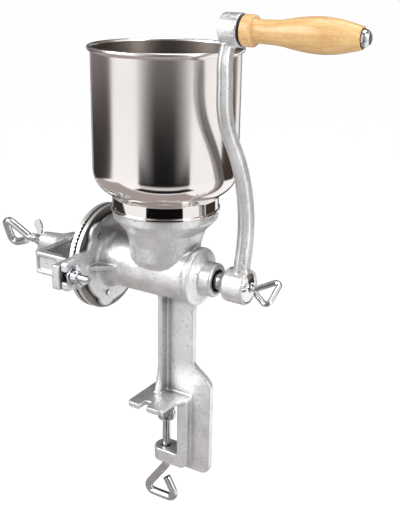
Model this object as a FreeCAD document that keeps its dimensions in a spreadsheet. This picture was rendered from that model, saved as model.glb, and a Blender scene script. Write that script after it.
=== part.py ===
import FreeCAD
import Part
import Sketcher
import math
import os

from FreeCAD import Placement, Rotation, Vector

# Hand grain mill that clamps to a kitchen table, in millimetres.
# +X runs along the barrel towards the crank and +Z is up. The origin lies on the underside of the
# clamp's upper jaw, below the hopper's axis. Heights are measured from the barrel's axis unless said.

doc = FreeCAD.newDocument("grain_mill")
sheet = doc.addObject("Spreadsheet::Sheet", "sizes")

DRIVING_SIZES = {
    "axis_height": 140.0,
    # barrel and its rear bearing
    "barrel_radius": 28.4,
    "bell_round": 7.0,
    "chamber_radius": 21.5,
    "chamber_end": 34.0,
    "barrel_end": 38.0,
    "rear_bead_radius": 29.6,
    "rear_bead_width": 5.6,
    "rear_groove": 1.8,
    "dome_radius": 26.4,
    "dome_end": 48.6,
    "bearing_boss_radius": 17.2,
    "bearing_boss_end": 62.5,
    "counterbore_radius": 11.0,
    "counterbore_depth": 4.5,
    # flange and ears that carry the plates and the yoke
    "flange_face": 69.4,
    "flange_thickness": 5.4,
    "flange_radius": 47.5,
    "lobe_radius": 14.4,
    "burr_screw_circle": 38.4,
    "burr_screw_radius": 2.6,
    "burr_screw_angle": 130.0,
    "burr_screw_count": 3,
    "ear_reach": 79.0,
    "ear_tip_height": 15.0,
    "ear_root_reach": 57.5,
    "ear_root_height": 19.0,
    "ear_face": 71.8,
    "bolt_offset": 70.0,
    "bolt_radius": 4.0,
    "slot_clearance": 1.2,
    "gusset_reach": 47.0,
    "gusset_run": 25.0,
    "gusset_width": 20.0,
    "gusset_thickness": 4.0,
    # feed throat
    "spigot_radius": 51.6,
    "spigot_height": 12.0,
    "collar_radius": 52.8,
    "collar_top": 64.5,
    "collar_height": 7.5,
    "shoulder_radius": 41.0,
    "shoulder_height": 45.0,
    "waist_radius": 36.6,
    "waist_height": 31.0,
    "cup_radius": 34.0,
    "cup_bottom": 7.5,
    "throat_wall": 4.6,
    "feed_radius": 18.5,
    "feed_height": 22.0,
    # hopper
    "hopper_wall": 0.8,
    "hopper_radius": 71.4,
    "hopper_neck_top": 79.6,
    "hopper_cone_top": 93.1,
    "hopper_rim_height": 220.2,
    "hopper_bead_place": 72.7,
    "hopper_bead_radius": 2.3,
    "hopper_shoulder_round": 26.0,
    "hopper_neck_round": 3.0,
    # leg and clamp frame
    "leg_thickness": 7.0,
    "leg_right": 36.5,
    "rib_left": 1.8,
    "rib_thickness": 4.0,
    "rib_half_width": 16.5,
    "rib_foot": 4.6,
    "rib_foot_height": 36.0,
    "jaw_thickness": 5.5,
    "jaw_left": 15.0,
    "jaw_right": 27.0,
    "jaw_half_width": 48.0,
    "jaw_notch_depth": 11.5,
    "jaw_notch_left": 0.5,
    "jaw_notch_right": 8.5,
    "clamp_back": 58.5,
    "clamp_bottom": 222.5,
    "leg_neck_height": 98.0,
    "leg_shoulder_drop": 16.6,
    "foot_left": 17.0,
    "throat_back": 23.5,
    "bar_width": 12.0,
    "bar_half_depth": 12.5,
    "block_top": 204.5,
    "block_height": 15.0,
    "clamp_axis": 2.5,
    # grinding plates
    "burr_radius": 56.0,
    "burr_thickness": 3.7,
    "burr_bore": 21.5,
    "burr_gap": 3.2,
    "tooth_height": 1.25,
    "tooth_inner": 24.0,
    "tooth_inner_width": 2.0,
    "tooth_outer_width": 4.6,
    "tooth_count": 36,
    "moving_burr_thickness": 4.1,
    "burr_hub_radius": 14.0,
    "burr_hub_length": 7.6,
    "countersink_radius": 4.8,
    "countersink_depth": 2.4,
    # shaft and feed screw
    "shaft_radius": 9.0,
    "shaft_front_radius": 8.0,
    "shaft_front_end": 93.5,
    "root_radius": 10.5,
    "root_start": 66.0,
    "root_end": 32.0,
    "flight_radius": 20.4,
    "flight_pitch": 27.0,
    "flight_thickness": 4.0,
    "square_start": 67.2,
    "square_width": 12.0,
    "shaft_rear_end": 95.0,
    "pin_radius": 2.5,
    "pin_length": 27.0,
    "pin_place": 84.1,
    "ball_radius": 4.0,
    "ball_place": 92.8,
    "running_clearance": 0.05,
    "end_gap": 0.3,
    "edge_round": 1.2,
    # yoke
    "yoke_outer": 60.0,
    "yoke_leg": 8.0,
    "yoke_relief": 57.4,
    "yoke_back": 123.0,
    "yoke_bar": 8.0,
    "yoke_half_height": 12.0,
    "yoke_lug_thickness": 8.6,
    "yoke_lug_reach": 82.0,
    "yoke_lug_half_height": 14.5,
    "yoke_boss_end": 163.0,
    "yoke_boss_radius": 9.8,
    "yoke_boss_middle": 11.9,
    "yoke_boss_root": 16.4,
    "yoke_hollow_depth": 3.0,
    "yoke_hollow_half_height": 7.6,
    # screws, nuts and washers
    "adjuster_radius": 5.0,
    "adjuster_thread_end": 181.0,
    "adjuster_bend_start": 185.0,
    "adjuster_loop_end": 216.5,
    "adjuster_loop_half_width": 18.5,
    "adjuster_tip_place": 190.0,
    "adjuster_tip_offset": 7.4,
    "adjuster_rod_radius": 4.0,
    "adjuster_turn": 21.0,
    "bolt_head_radius": 7.4,
    "bolt_head_height": 5.0,
    "bolt_end": 43.0,
    "washer_radius": 9.0,
    "washer_thickness": 1.6,
    "wing_hub_radius": 6.8,
    "wing_hub_top_radius": 5.8,
    "wing_hub_height": 7.5,
    "wing_reach": 13.0,
    "wing_height": 11.0,
    "wing_thickness": 3.0,
    "lock_hub_radius": 7.6,
    "lock_hub_height": 8.6,
    "lock_wing_reach": 23.0,
    "lock_wing_height": 13.0,
    "lock_place": 163.3,
    # crank
    "hub_inner": 67.2,
    "hub_face": 97.7,
    "hub_radius": 17.4,
    "hub_neck_radius": 10.2,
    "hub_neck_length": 2.6,
    "hub_cone_end": 78.0,
    "hub_groove": 0.7,
    "hub_recess_radius": 15.0,
    "hub_recess_depth": 1.6,
    "arm_plane": 88.0,
    "arm_width": 22.0,
    "arm_thickness": 14.5,
    "arm_top_width": 19.5,
    "arm_top_thickness": 11.5,
    "throw_height": 243.5,
    "throw_lean": -33.6,
    "handle_boss_radius": 14.3,
    "handle_boss_inner": 83.0,
    "handle_boss_outer": 100.0,
    "cap_radius": 14.4,
    "cap_dome": 3.6,
    "thumb_rod_radius": 2.75,
    "thumb_thread_radius": 3.0,
    "thumb_thread_start": 82.0,
    "thumb_bend_start": 103.0,
    "thumb_loop_end": 124.0,
    "thumb_loop_half_width": 16.0,
    "thumb_tip_place": 106.6,
    "thumb_tip_offset": 5.2,
    "thumb_turn": -59.0,
    # grip
    "grip_start": 102.4,
    "grip_collar_end": 112.5,
    "grip_collar_radius": 14.0,
    "grip_neck_radius": 10.9,
    "grip_belly_radius": 15.2,
    "grip_end_radius": 10.0,
    "grip_end": 207.6,
    "grip_recess_radius": 8.6,
    "grip_recess_depth": 3.0,
    "spindle_radius": 4.0,
    "spindle_inner": 84.0,
    "spindle_head_radius": 7.4,
    "spindle_head_height": 5.6,
    # clamp screw
    "clamp_screw_radius": 4.8,
    "clamp_tip_radius": 3.0,
    "pad_radius": 9.5,
    "pad_thickness": 2.6,
    "pad_skirt": 4.6,
    "pad_skirt_wall": 1.6,
    "pad_top": 167.0,
    "peen_height": 0.7,
    "clamp_thread_end": 226.0,
    "clamp_bend_start": 229.0,
    "clamp_loop_end": 272.0,
    "clamp_loop_left": 26.0,
    "clamp_loop_right": 11.5,
    "clamp_cut_height": 245.5,
    "clamp_cut_offset": 1.5,
    "clamp_rod_radius": 4.0,
    "loop_bend": 8.0,
    "slide_room": 5.0,
    "through_cut": 130.0,
}

# Centre line of the crank arm: distance above the shaft and sideways offset along Y.
ARM_STATIONS = (
    (12.0, 1.0), (36.0, 5.0), (62.0, 6.8), (88.0, 2.8), (112.0, -5.6),
    (136.0, -19.2), (158.0, -33.4), (180.0, -40.2), (204.0, -41.0), (232.0, -36.4),
)

# Turned outline of the wooden grip: share of the length behind the collar, and radius.
GRIP_STATIONS = (
    (0.0, 10.4), (0.14, 10.7), (0.26, 11.2), (0.40, 13.4), (0.56, 15.1),
    (0.68, 15.2), (0.80, 14.2), (0.91, 12.2), (1.0, 9.6),
)

station = 0
for height, offset in ARM_STATIONS:
    station += 1
    DRIVING_SIZES[f"arm_height_{station}"] = height
    DRIVING_SIZES[f"arm_offset_{station}"] = offset
station = 0
for share, radius in GRIP_STATIONS:
    station += 1
    DRIVING_SIZES[f"grip_share_{station}"] = share
    DRIVING_SIZES[f"grip_radius_{station}"] = radius

for row, (alias, number) in enumerate(DRIVING_SIZES.items(), start=1):
    sheet.set(f"A{row}", alias)
    sheet.set(f"B{row}", str(number))
    sheet.setAlias(f"B{row}", alias)
doc.recompute()

HORIZONTAL_AXIS = -1
VERTICAL_AXIS = -2
ORIGIN_GEOMETRY = -1
START = 1
END = 2
CENTRE = 3
TINY = 1e-6
FULL_TURN = 360.0
RIGHT_ANGLE = 90.0
HALF_TURN = 180.0

sub_parts = []


def size(expression):
    """The number that a sum of sizes has in the sheet."""
    return float(sheet.evalExpression(expression))


def in_sheet(expression):
    """The same sum as the other objects of the document read it."""
    words = []
    word = ""
    for letter in expression + " ":
        if letter.isalnum() or letter == "_":
            word += letter
            continue
        words.append("sizes." + word if word in DRIVING_SIZES else word)
        words.append(letter)
        word = ""
    return "".join(words).strip()


def bind(item, prop, expression):
    """Tie a property to sizes of the sheet."""
    item.setExpression(prop, in_sheet(expression))


def new_body(label, x="0", y="0", z="axis_height", rotation=None):
    """A sub-part with its own label and placement."""
    body = doc.addObject("PartDesign::Body", label)
    body.Label = label
    if rotation is not None:
        body.Placement = Placement(Vector(), rotation)
    bind(body, "Placement.Base.x", x)
    bind(body, "Placement.Base.y", y)
    bind(body, "Placement.Base.z", z)
    sub_parts.append(body)
    return body


def origin_item(body, role):
    """One of the body's own origin planes or axes."""
    for item in body.Origin.OriginFeatures:
        if item.Role == role:
            return item
    raise ValueError(role)


def sketch_on(body, name, role, offset="0"):
    """An empty sketch on one of the body's origin planes, moved along the plane's normal."""
    sketch = body.newObject("Sketcher::SketchObject", name)
    sketch.AttachmentSupport = (origin_item(body, role), "")
    sketch.MapMode = "FlatFace"
    bind(sketch, "AttachmentOffset.Base.z", offset)
    return sketch


def hold(sketch, kind, geometry, point, expression):
    """Tie one coordinate of a sketch point to sizes, measured from the sketch's origin."""
    value = size(expression)
    if abs(value) < TINY:
        axis = VERTICAL_AXIS if kind == "DistanceX" else HORIZONTAL_AXIS
        sketch.addConstraint(Sketcher.Constraint("PointOnObject", geometry, point, axis))
        return
    if value > 0:
        constraint = Sketcher.Constraint(kind, ORIGIN_GEOMETRY, START, geometry, point, value)
        bound = in_sheet(expression)
    else:
        constraint = Sketcher.Constraint(kind, geometry, point, ORIGIN_GEOMETRY, START, -value)
        bound = "-(" + in_sheet(expression) + ")"
    index = sketch.addConstraint(constraint)
    sketch.setExpression(f"Constraints[{index}]", bound)


def circle(sketch, x, y, radius):
    """A circle whose centre and radius follow the sheet."""
    centre = Vector(size(x), size(y), 0)
    index = sketch.addGeometry(Part.Circle(centre, Vector(0, 0, 1), size(radius)))
    hold(sketch, "DistanceX", index, CENTRE, x)
    hold(sketch, "DistanceY", index, CENTRE, y)
    constraint = sketch.addConstraint(Sketcher.Constraint("Radius", index, size(radius)))
    sketch.setExpression(f"Constraints[{constraint}]", in_sheet(radius))


class Corner:
    """One corner of an outline, sharp or rounded by a tangent arc."""

    def __init__(self, x, y, radius=None):
        self.x = x
        self.y = y
        self.radius = radius
        self.point = Vector(size(x), size(y), 0)
        self.entry = self.point
        self.exit = self.point
        self.arc = None

    def find_tangents(self, before, after):
        """Where the rounding leaves the two sides that meet here."""
        if self.radius is None:
            return
        back = (before.point - self.point).normalize()
        ahead = (after.point - self.point).normalize()
        half_angle = back.getAngle(ahead) / 2
        radius = size(self.radius)
        run = radius / math.tan(half_angle)
        self.entry = self.point + back * run
        self.exit = self.point + ahead * run
        centre = self.point + (back + ahead).normalize() * (radius / math.sin(half_angle))
        turns_left = (self.point - before.point).cross(after.point - self.point).z > 0
        first = self.entry if turns_left else self.exit
        last = self.exit if turns_left else self.entry
        start_angle = math.atan2(first.y - centre.y, first.x - centre.x)
        end_angle = math.atan2(last.y - centre.y, last.x - centre.x)
        if end_angle < start_angle:
            end_angle += 2 * math.pi
        round_edge = Part.Circle(centre, Vector(0, 0, 1), radius)
        self.arc = Part.ArcOfCircle(round_edge, start_angle, end_angle)
        self.entry_end = START if turns_left else END
        self.exit_end = END if turns_left else START


def outline(sketch, *points, closed=True):
    """Straight sides through the points, each point (x, y) or (x, y, rounding radius)."""
    corners = [Corner(*point) for point in points]
    count = len(corners)
    for place, corner in enumerate(corners):
        corner.find_tangents(corners[place - 1], corners[(place + 1) % count])
    sides = []
    side_count = count if closed else count - 1
    for place in range(side_count):
        start = corners[place].exit
        end = corners[(place + 1) % count].entry
        sides.append(sketch.addGeometry(Part.LineSegment(start, end)))
    for place, corner in enumerate(corners):
        arrives = sides[place - 1] if closed or place > 0 else None
        leaves = sides[place] if place < side_count else None
        if corner.arc is None:
            if arrives is not None and leaves is not None:
                sketch.addConstraint(Sketcher.Constraint("Coincident", arrives, END, leaves, START))
            held, end = (leaves, START) if leaves is not None else (arrives, END)
            hold(sketch, "DistanceX", held, end, corner.x)
            hold(sketch, "DistanceY", held, end, corner.y)
            continue
        arc = sketch.addGeometry(corner.arc)
        mark = sketch.addGeometry(Part.Point(corner.point), True)
        sketch.addConstraint([
            Sketcher.Constraint("Tangent", arrives, END, arc, corner.entry_end),
            Sketcher.Constraint("Tangent", arc, corner.exit_end, leaves, START),
            Sketcher.Constraint("PointOnObject", mark, START, arrives),
            Sketcher.Constraint("PointOnObject", mark, START, leaves),
        ])
        radius = sketch.addConstraint(Sketcher.Constraint("Radius", arc, size(corner.radius)))
        sketch.setExpression(f"Constraints[{radius}]", in_sheet(corner.radius))
        hold(sketch, "DistanceX", mark, START, corner.x)
        hold(sketch, "DistanceY", mark, START, corner.y)


def mirrored(points, flip_first=True):
    """The same points on the other side of an axis, in reversed order."""
    result = []
    for x, y, *rounding in reversed(points):
        if flip_first:
            result.append(("-(" + x + ")", y, *rounding))
        else:
            result.append((x, "-(" + y + ")", *rounding))
    return result


def volume(body):
    """The body's volume after everything in it has been worked out."""
    doc.recompute()
    return body.Shape.Volume


def extrude(body, sketch, length, kind="Pad", backwards=False, both_ways=False):
    """Pad or Pocket of a sketch by a length from the sheet."""
    feature = body.newObject("PartDesign::" + kind, sketch.Name + "_" + kind.lower())
    feature.Profile = sketch
    bind(feature, "Length", length)
    feature.Reversed = backwards
    if both_ways:
        feature.SideType = "Symmetric"
    sketch.Visibility = False
    return feature


def bore(body, sketch, length, backwards=False, both_ways=False):
    """Pocket that is compared with the body before it, so that it is known to cut."""
    before = volume(body)
    feature = extrude(body, sketch, length, "Pocket", backwards, both_ways)
    if volume(body) > before - TINY:
        raise RuntimeError(sketch.Name + " cuts nothing")
    return feature


def turn(body, sketch, axis="H_Axis", kind="Revolution"):
    """Full turn of a sketch about one of its own axes."""
    before = volume(body) if kind == "Groove" else 0.0
    feature = body.newObject("PartDesign::" + kind, sketch.Name + "_" + kind.lower())
    feature.Profile = sketch
    feature.ReferenceAxis = (sketch, [axis])
    feature.Angle = FULL_TURN
    sketch.Visibility = False
    if kind == "Groove" and volume(body) > before - TINY:
        raise RuntimeError(sketch.Name + " cuts nothing")
    return feature


def polar(body, feature, count, axis="X_Axis"):
    """Equal copies of a feature about one of the body's axes."""
    pattern = body.newObject("PartDesign::PolarPattern", feature.Name + "_pattern")
    pattern.Originals = [feature]
    pattern.Axis = (origin_item(body, axis), [""])
    pattern.Angle = FULL_TURN
    bind(pattern, "Occurrences", count)
    body.Tip = pattern
    return pattern


def loft(body, sketches, name):
    """Smooth skin through closed sketches, the first one being the profile."""
    feature = body.newObject("PartDesign::AdditiveLoft", name)
    feature.Profile = sketches[0]
    feature.Sections = sketches[1:]
    feature.Ruled = False
    for sketch in sketches:
        sketch.Visibility = False
    return feature


def bent_rod(body, radius, *points):
    """Round rod along straight runs joined by tangent bends, in the body's XZ plane."""
    path = sketch_on(body, body.Name + "_path", "XZ_Plane")
    outline(path, *points, closed=False)
    section = sketch_on(body, body.Name + "_section", "YZ_Plane", points[0][0])
    circle(section, "0", points[0][1], radius)
    before = volume(body)
    pipe = body.newObject("PartDesign::AdditivePipe", body.Name + "_rod")
    pipe.Profile = section
    pipe.Spine = (path, [f"Edge{number + 1}" for number in range(len(path.Shape.Edges))])
    length = path.Shape.Length
    added = volume(body) - before
    expected = math.pi * size(radius) ** 2 * length
    buried = before > 0
    if added > expected + TINY * expected or (not buried and abs(added - expected) > TINY * expected):
        raise RuntimeError(body.Name + " rod does not follow its path")
    return pipe


# ---- mill body: one casting ----
mill = new_body("mill_body")

barrel = sketch_on(mill, "barrel", "XZ_Plane")
outline(
    barrel,
    ("-flange_face", "0"),
    ("-flange_face", "flange_radius", "edge_round"),
    ("flange_thickness - flange_face", "flange_radius", "edge_round"),
    ("flange_thickness - flange_face", "barrel_radius", "bell_round"),
    ("barrel_end - rear_groove", "barrel_radius"),
    ("barrel_end - rear_groove", "barrel_radius - rear_groove"),
    ("barrel_end", "barrel_radius - rear_groove"),
    ("barrel_end", "rear_bead_radius", "edge_round"),
    ("barrel_end + rear_bead_width", "rear_bead_radius", "edge_round"),
    ("barrel_end + rear_bead_width", "dome_radius"),
    ("dome_end", "bearing_boss_radius"),
    ("bearing_boss_end", "bearing_boss_radius", "2.2 * edge_round"),
    ("bearing_boss_end", "0"),
)
turn(mill, barrel)

lobe = sketch_on(mill, "lobe", "YZ_Plane", "-flange_face")
circle(
    lobe,
    "burr_screw_circle * cos(burr_screw_angle * 1deg)",
    "burr_screw_circle * sin(burr_screw_angle * 1deg)",
    "lobe_radius",
)
polar(mill, extrude(mill, lobe, "flange_thickness"), "burr_screw_count")

ear_bar = sketch_on(mill, "ear_bar", "YZ_Plane", "-flange_face")
ear_side = [
    ("ear_root_reach", "ear_root_height", "edge_round"),
    ("ear_reach", "ear_tip_height", "3 * edge_round"),
    ("ear_reach", "-ear_tip_height", "3 * edge_round"),
    ("ear_root_reach", "-ear_tip_height - edge_round", "edge_round"),
]
outline(ear_bar, *ear_side, *mirrored(ear_side))
extrude(mill, ear_bar, "flange_thickness")

ear_pads = sketch_on(mill, "ear_pads", "YZ_Plane", "-ear_face")
pad_side = [
    ("ear_root_reach", "ear_tip_height"),
    ("ear_reach", "ear_tip_height", "3 * edge_round"),
    ("ear_reach", "-ear_tip_height", "3 * edge_round"),
    ("ear_root_reach", "-ear_tip_height"),
]
outline(ear_pads, *pad_side)
outline(ear_pads, *mirrored(pad_side))
extrude(mill, ear_pads, "ear_face - flange_face + flange_thickness")

gusset = sketch_on(mill, "gusset", "XY_Plane")
gusset_side = [
    ("-flange_face + edge_round", "gusset_reach"),
    ("-flange_face + flange_thickness", "gusset_reach"),
    ("gusset_run - flange_face + flange_thickness", "barrel_radius - edge_round"),
    ("gusset_run - flange_face + flange_thickness", "gusset_width + edge_round"),
    ("-flange_face + edge_round", "gusset_width + edge_round"),
]
outline(gusset, *gusset_side)
outline(gusset, *mirrored(gusset_side, flip_first=False))
extrude(mill, gusset, "gusset_thickness", both_ways=True)

leg = sketch_on(mill, "leg", "XZ_Plane")
outline(
    leg,
    ("rib_left + edge_round", "-chamber_radius - edge_round"),
    ("leg_right", "-chamber_radius - edge_round"),
    ("leg_right", "-leg_neck_height", "5 * edge_round"),
    ("clamp_back", "-leg_neck_height - leg_shoulder_drop", "12 * edge_round"),
    ("clamp_back", "-clamp_bottom", "8 * edge_round"),
    ("foot_left", "-clamp_bottom", "edge_round"),
    ("foot_left", "-block_top - 2 * edge_round"),
    ("throat_back + edge_round", "-block_top - 2 * edge_round"),
    ("throat_back + edge_round", "-axis_height + edge_round"),
    ("rib_left + edge_round", "-axis_height + edge_round"),
)
extrude(mill, leg, "leg_thickness", both_ways=True)

rib = sketch_on(mill, "rib", "XZ_Plane")
outline(
    rib,
    ("rib_left", "-chamber_radius - edge_round"),
    ("rib_left + rib_thickness", "-chamber_radius - edge_round"),
    ("rib_left + rib_thickness", "-axis_height + 2 * edge_round"),
    ("rib_left - rib_foot", "-axis_height + 2 * edge_round"),
    ("rib_left - rib_foot", "-axis_height + jaw_thickness"),
    ("rib_left", "-axis_height + rib_foot_height", "10 * edge_round"),
)
extrude(mill, rib, "2 * rib_half_width", both_ways=True)

jaw = sketch_on(mill, "jaw", "XY_Plane", "-axis_height")
jaw_side = [
    ("leg_right", "5 * edge_round"),
    ("jaw_right + edge_round", "rib_half_width + 5 * edge_round", "5 * edge_round"),
    ("jaw_right", "jaw_half_width", "4 * edge_round"),
    ("jaw_notch_right", "jaw_half_width", "edge_round"),
    ("jaw_notch_right", "jaw_half_width - jaw_notch_depth", "edge_round"),
    ("jaw_notch_left", "jaw_half_width - jaw_notch_depth", "edge_round"),
    ("jaw_notch_left", "jaw_half_width", "edge_round"),
    ("-jaw_left", "jaw_half_width", "4 * edge_round"),
]
outline(jaw, *jaw_side, *mirrored(jaw_side, flip_first=False))
extrude(mill, jaw, "jaw_thickness")

bar = sketch_on(mill, "clamp_bar", "XZ_Plane")
outline(
    bar,
    ("throat_back", "-axis_height + 2 * edge_round"),
    ("throat_back + bar_width", "-axis_height + 2 * edge_round"),
    ("throat_back + bar_width", "-block_top - block_height", "7 * edge_round"),
    ("throat_back", "-block_top - block_height"),
)
extrude(mill, bar, "2 * bar_half_depth", both_ways=True)

block = sketch_on(mill, "clamp_block", "XY_Plane", "-block_top - block_height")
outline(
    block,
    ("throat_back + edge_round", "-bar_half_depth"),
    ("throat_back + edge_round", "bar_half_depth"),
    ("clamp_axis - bar_half_depth", "bar_half_depth", "bar_half_depth - edge_round"),
    ("clamp_axis - bar_half_depth", "-bar_half_depth", "bar_half_depth - edge_round"),
)
extrude(mill, block, "block_height")

throat = sketch_on(mill, "throat", "XZ_Plane")
outline(
    throat,
    ("0", "cup_bottom"),
    ("cup_radius", "cup_bottom", "9 * edge_round"),
    ("waist_radius", "waist_height", "9 * edge_round"),
    ("shoulder_radius", "shoulder_height", "4 * edge_round"),
    ("collar_radius", "collar_top - collar_height", "2 * edge_round"),
    ("collar_radius", "collar_top"),
    ("spigot_radius", "collar_top"),
    ("spigot_radius", "collar_top + spigot_height", "edge_round"),
    ("0", "collar_top + spigot_height"),
)
turn(mill, throat, "V_Axis")

feed = sketch_on(mill, "feed_passage", "XZ_Plane")
outline(
    feed,
    ("0", "0"),
    ("feed_radius", "0"),
    ("feed_radius", "feed_height", "4 * edge_round"),
    ("waist_radius - throat_wall", "waist_height + edge_round"),
    ("shoulder_radius - throat_wall", "shoulder_height + edge_round"),
    ("spigot_radius - throat_wall", "collar_top - edge_round", "4 * edge_round"),
    ("spigot_radius - throat_wall", "collar_top + spigot_height + edge_round"),
    ("0", "collar_top + spigot_height + edge_round"),
)
turn(mill, feed, "V_Axis", "Groove")

chamber = sketch_on(mill, "chamber", "XZ_Plane")
outline(
    chamber,
    ("-flange_face - edge_round", "0"),
    ("-flange_face - edge_round", "chamber_radius"),
    ("chamber_end", "chamber_radius", "2 * edge_round"),
    ("chamber_end", "shaft_radius + running_clearance"),
    ("bearing_boss_end - counterbore_depth", "shaft_radius + running_clearance"),
    ("bearing_boss_end - counterbore_depth", "counterbore_radius"),
    ("bearing_boss_end + edge_round", "counterbore_radius"),
    ("bearing_boss_end + edge_round", "0"),
)
turn(mill, chamber, "H_Axis", "Groove")

screw_hole = sketch_on(mill, "screw_hole", "YZ_Plane", "-flange_face - edge_round")
circle(
    screw_hole,
    "burr_screw_circle * cos(burr_screw_angle * 1deg)",
    "burr_screw_circle * sin(burr_screw_angle * 1deg)",
    "burr_screw_radius + running_clearance",
)
polar(mill, bore(mill, screw_hole, "flange_thickness + 2 * edge_round", backwards=True), "burr_screw_count")

slots = sketch_on(mill, "ear_slots", "YZ_Plane", "-ear_face - edge_round")
slot_side = [
    ("bolt_offset - bolt_radius - slot_clearance", "bolt_radius + slot_clearance", "bolt_radius"),
    ("bolt_offset - bolt_radius - slot_clearance", "-bolt_radius - slot_clearance", "bolt_radius"),
    ("ear_reach + edge_round", "-bolt_radius - slot_clearance"),
    ("ear_reach + edge_round", "bolt_radius + slot_clearance"),
]
outline(slots, *slot_side)
outline(slots, *mirrored(slot_side))
bore(mill, slots, "ear_face - flange_face + flange_thickness + 2 * edge_round", backwards=True)

clamp_hole = sketch_on(mill, "clamp_hole", "XY_Plane", "-block_top - block_height - edge_round")
circle(clamp_hole, "clamp_axis", "0", "clamp_screw_radius + running_clearance")
bore(mill, clamp_hole, "block_height + 2 * edge_round", backwards=True)

# ---- hopper: thin spun funnel with a rolled rim ----
hopper = new_body("hopper")
wall = sketch_on(hopper, "hopper_wall_profile", "XZ_Plane")
outline(
    wall,
    ("collar_radius", "collar_top"),
    ("collar_radius", "hopper_neck_top", "hopper_neck_round"),
    ("hopper_radius", "hopper_cone_top", "hopper_shoulder_round"),
    ("hopper_radius", "hopper_rim_height"),
    ("hopper_radius - hopper_wall", "hopper_rim_height"),
    ("hopper_radius - hopper_wall", "hopper_cone_top + hopper_wall / 2", "hopper_shoulder_round - hopper_wall"),
    ("collar_radius - hopper_wall", "hopper_neck_top + hopper_wall / 2", "hopper_neck_round + hopper_wall"),
    ("collar_radius - hopper_wall", "collar_top"),
)
turn(hopper, wall, "V_Axis")
bead = sketch_on(hopper, "hopper_bead", "XZ_Plane")
circle(bead, "hopper_bead_place", "hopper_rim_height", "hopper_bead_radius")
turn(hopper, bead, "V_Axis")


def toothed_plate(label, face, thickness, outwards):
    """Grinding plate whose teeth stand on the face at a place along X."""
    plate = new_body(label)
    back = face + " - (" + thickness + ")" if outwards else face
    disc = sketch_on(plate, label + "_disc", "YZ_Plane", back)
    circle(disc, "0", "0", "burr_radius")
    if not outwards:
        circle(disc, "0", "0", "burr_bore")
    extrude(plate, disc, thickness)
    root = face + " - running_clearance" if outwards else face + " - tooth_height"
    tooth = sketch_on(plate, label + "_tooth", "YZ_Plane", root)
    outline(
        tooth,
        ("-tooth_inner_width / 2", "tooth_inner"),
        ("tooth_inner_width / 2", "tooth_inner"),
        ("tooth_outer_width / 2", "burr_radius - running_clearance - edge_round"),
        ("-tooth_outer_width / 2", "burr_radius - running_clearance - edge_round"),
    )
    ridge = extrude(plate, tooth, "tooth_height + running_clearance")
    polar(plate, ridge, "tooth_count")
    return plate


# ---- stationary plate, held by countersunk screws ----
still_plate = toothed_plate("stationary_burr", "-flange_face - burr_thickness", "burr_thickness", False)
plate_hole = sketch_on(still_plate, "plate_hole", "YZ_Plane", "-flange_face - burr_thickness - 2 * tooth_height")
circle(
    plate_hole,
    "burr_screw_circle * cos(burr_screw_angle * 1deg)",
    "burr_screw_circle * sin(burr_screw_angle * 1deg)",
    "burr_screw_radius + running_clearance",
)
polar(
    still_plate,
    bore(still_plate, plate_hole, "burr_thickness + 3 * tooth_height", backwards=True),
    "burr_screw_count",
)
head_seat = sketch_on(still_plate, "head_seat", "YZ_Plane", "-flange_face - burr_thickness - 2 * tooth_height")
circle(
    head_seat,
    "burr_screw_circle * cos(burr_screw_angle * 1deg)",
    "burr_screw_circle * sin(burr_screw_angle * 1deg)",
    "countersink_radius + running_clearance",
)
polar(
    still_plate,
    bore(still_plate, head_seat, "countersink_depth + 2 * tooth_height", backwards=True),
    "burr_screw_count",
)

# ---- plate screws: three alike in one group ----
plate_screws = new_body(
    "burr_screws",
    rotation=Rotation(Vector(1, 0, 0), size("burr_screw_angle") - RIGHT_ANGLE),
)
plate_screws.AllowCompound = True
plate_screw = sketch_on(plate_screws, "plate_screw", "XZ_Plane")
outline(
    plate_screw,
    ("-flange_face - burr_thickness", "0"),
    ("-flange_face - burr_thickness", "countersink_radius"),
    ("-flange_face - burr_thickness + countersink_depth", "countersink_radius"),
    ("-flange_face - burr_thickness + countersink_depth", "burr_screw_radius"),
    ("-flange_face + flange_thickness + edge_round", "burr_screw_radius"),
    ("-flange_face + flange_thickness + edge_round", "0"),
)
bind(plate_screw, "AttachmentOffset.Base.y", "burr_screw_circle")
polar(plate_screws, turn(plate_screws, plate_screw), "burr_screw_count")

# ---- moving plate with its hub ----
moving_plate = toothed_plate("rotating_burr", "-flange_face - burr_thickness - burr_gap", "moving_burr_thickness", True)
plate_back = "-flange_face - burr_thickness - burr_gap - moving_burr_thickness"
plate_hub = sketch_on(moving_plate, "plate_hub", "YZ_Plane", plate_back + " - burr_hub_length")
circle(plate_hub, "0", "0", "burr_hub_radius")
extrude(moving_plate, plate_hub, "burr_hub_length + edge_round")
plate_bore = sketch_on(moving_plate, "plate_bore", "YZ_Plane", plate_back + " - burr_hub_length - edge_round")
circle(plate_bore, "0", "0", "shaft_front_radius + running_clearance")
bore(moving_plate, plate_bore, "moving_burr_thickness + burr_hub_length + 3 * edge_round", backwards=True)
pin_hole = sketch_on(moving_plate, "pin_hole", "XZ_Plane")
circle(pin_hole, "-pin_place", "0", "pin_radius + running_clearance")
bore(moving_plate, pin_hole, "through_cut", both_ways=True)

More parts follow.
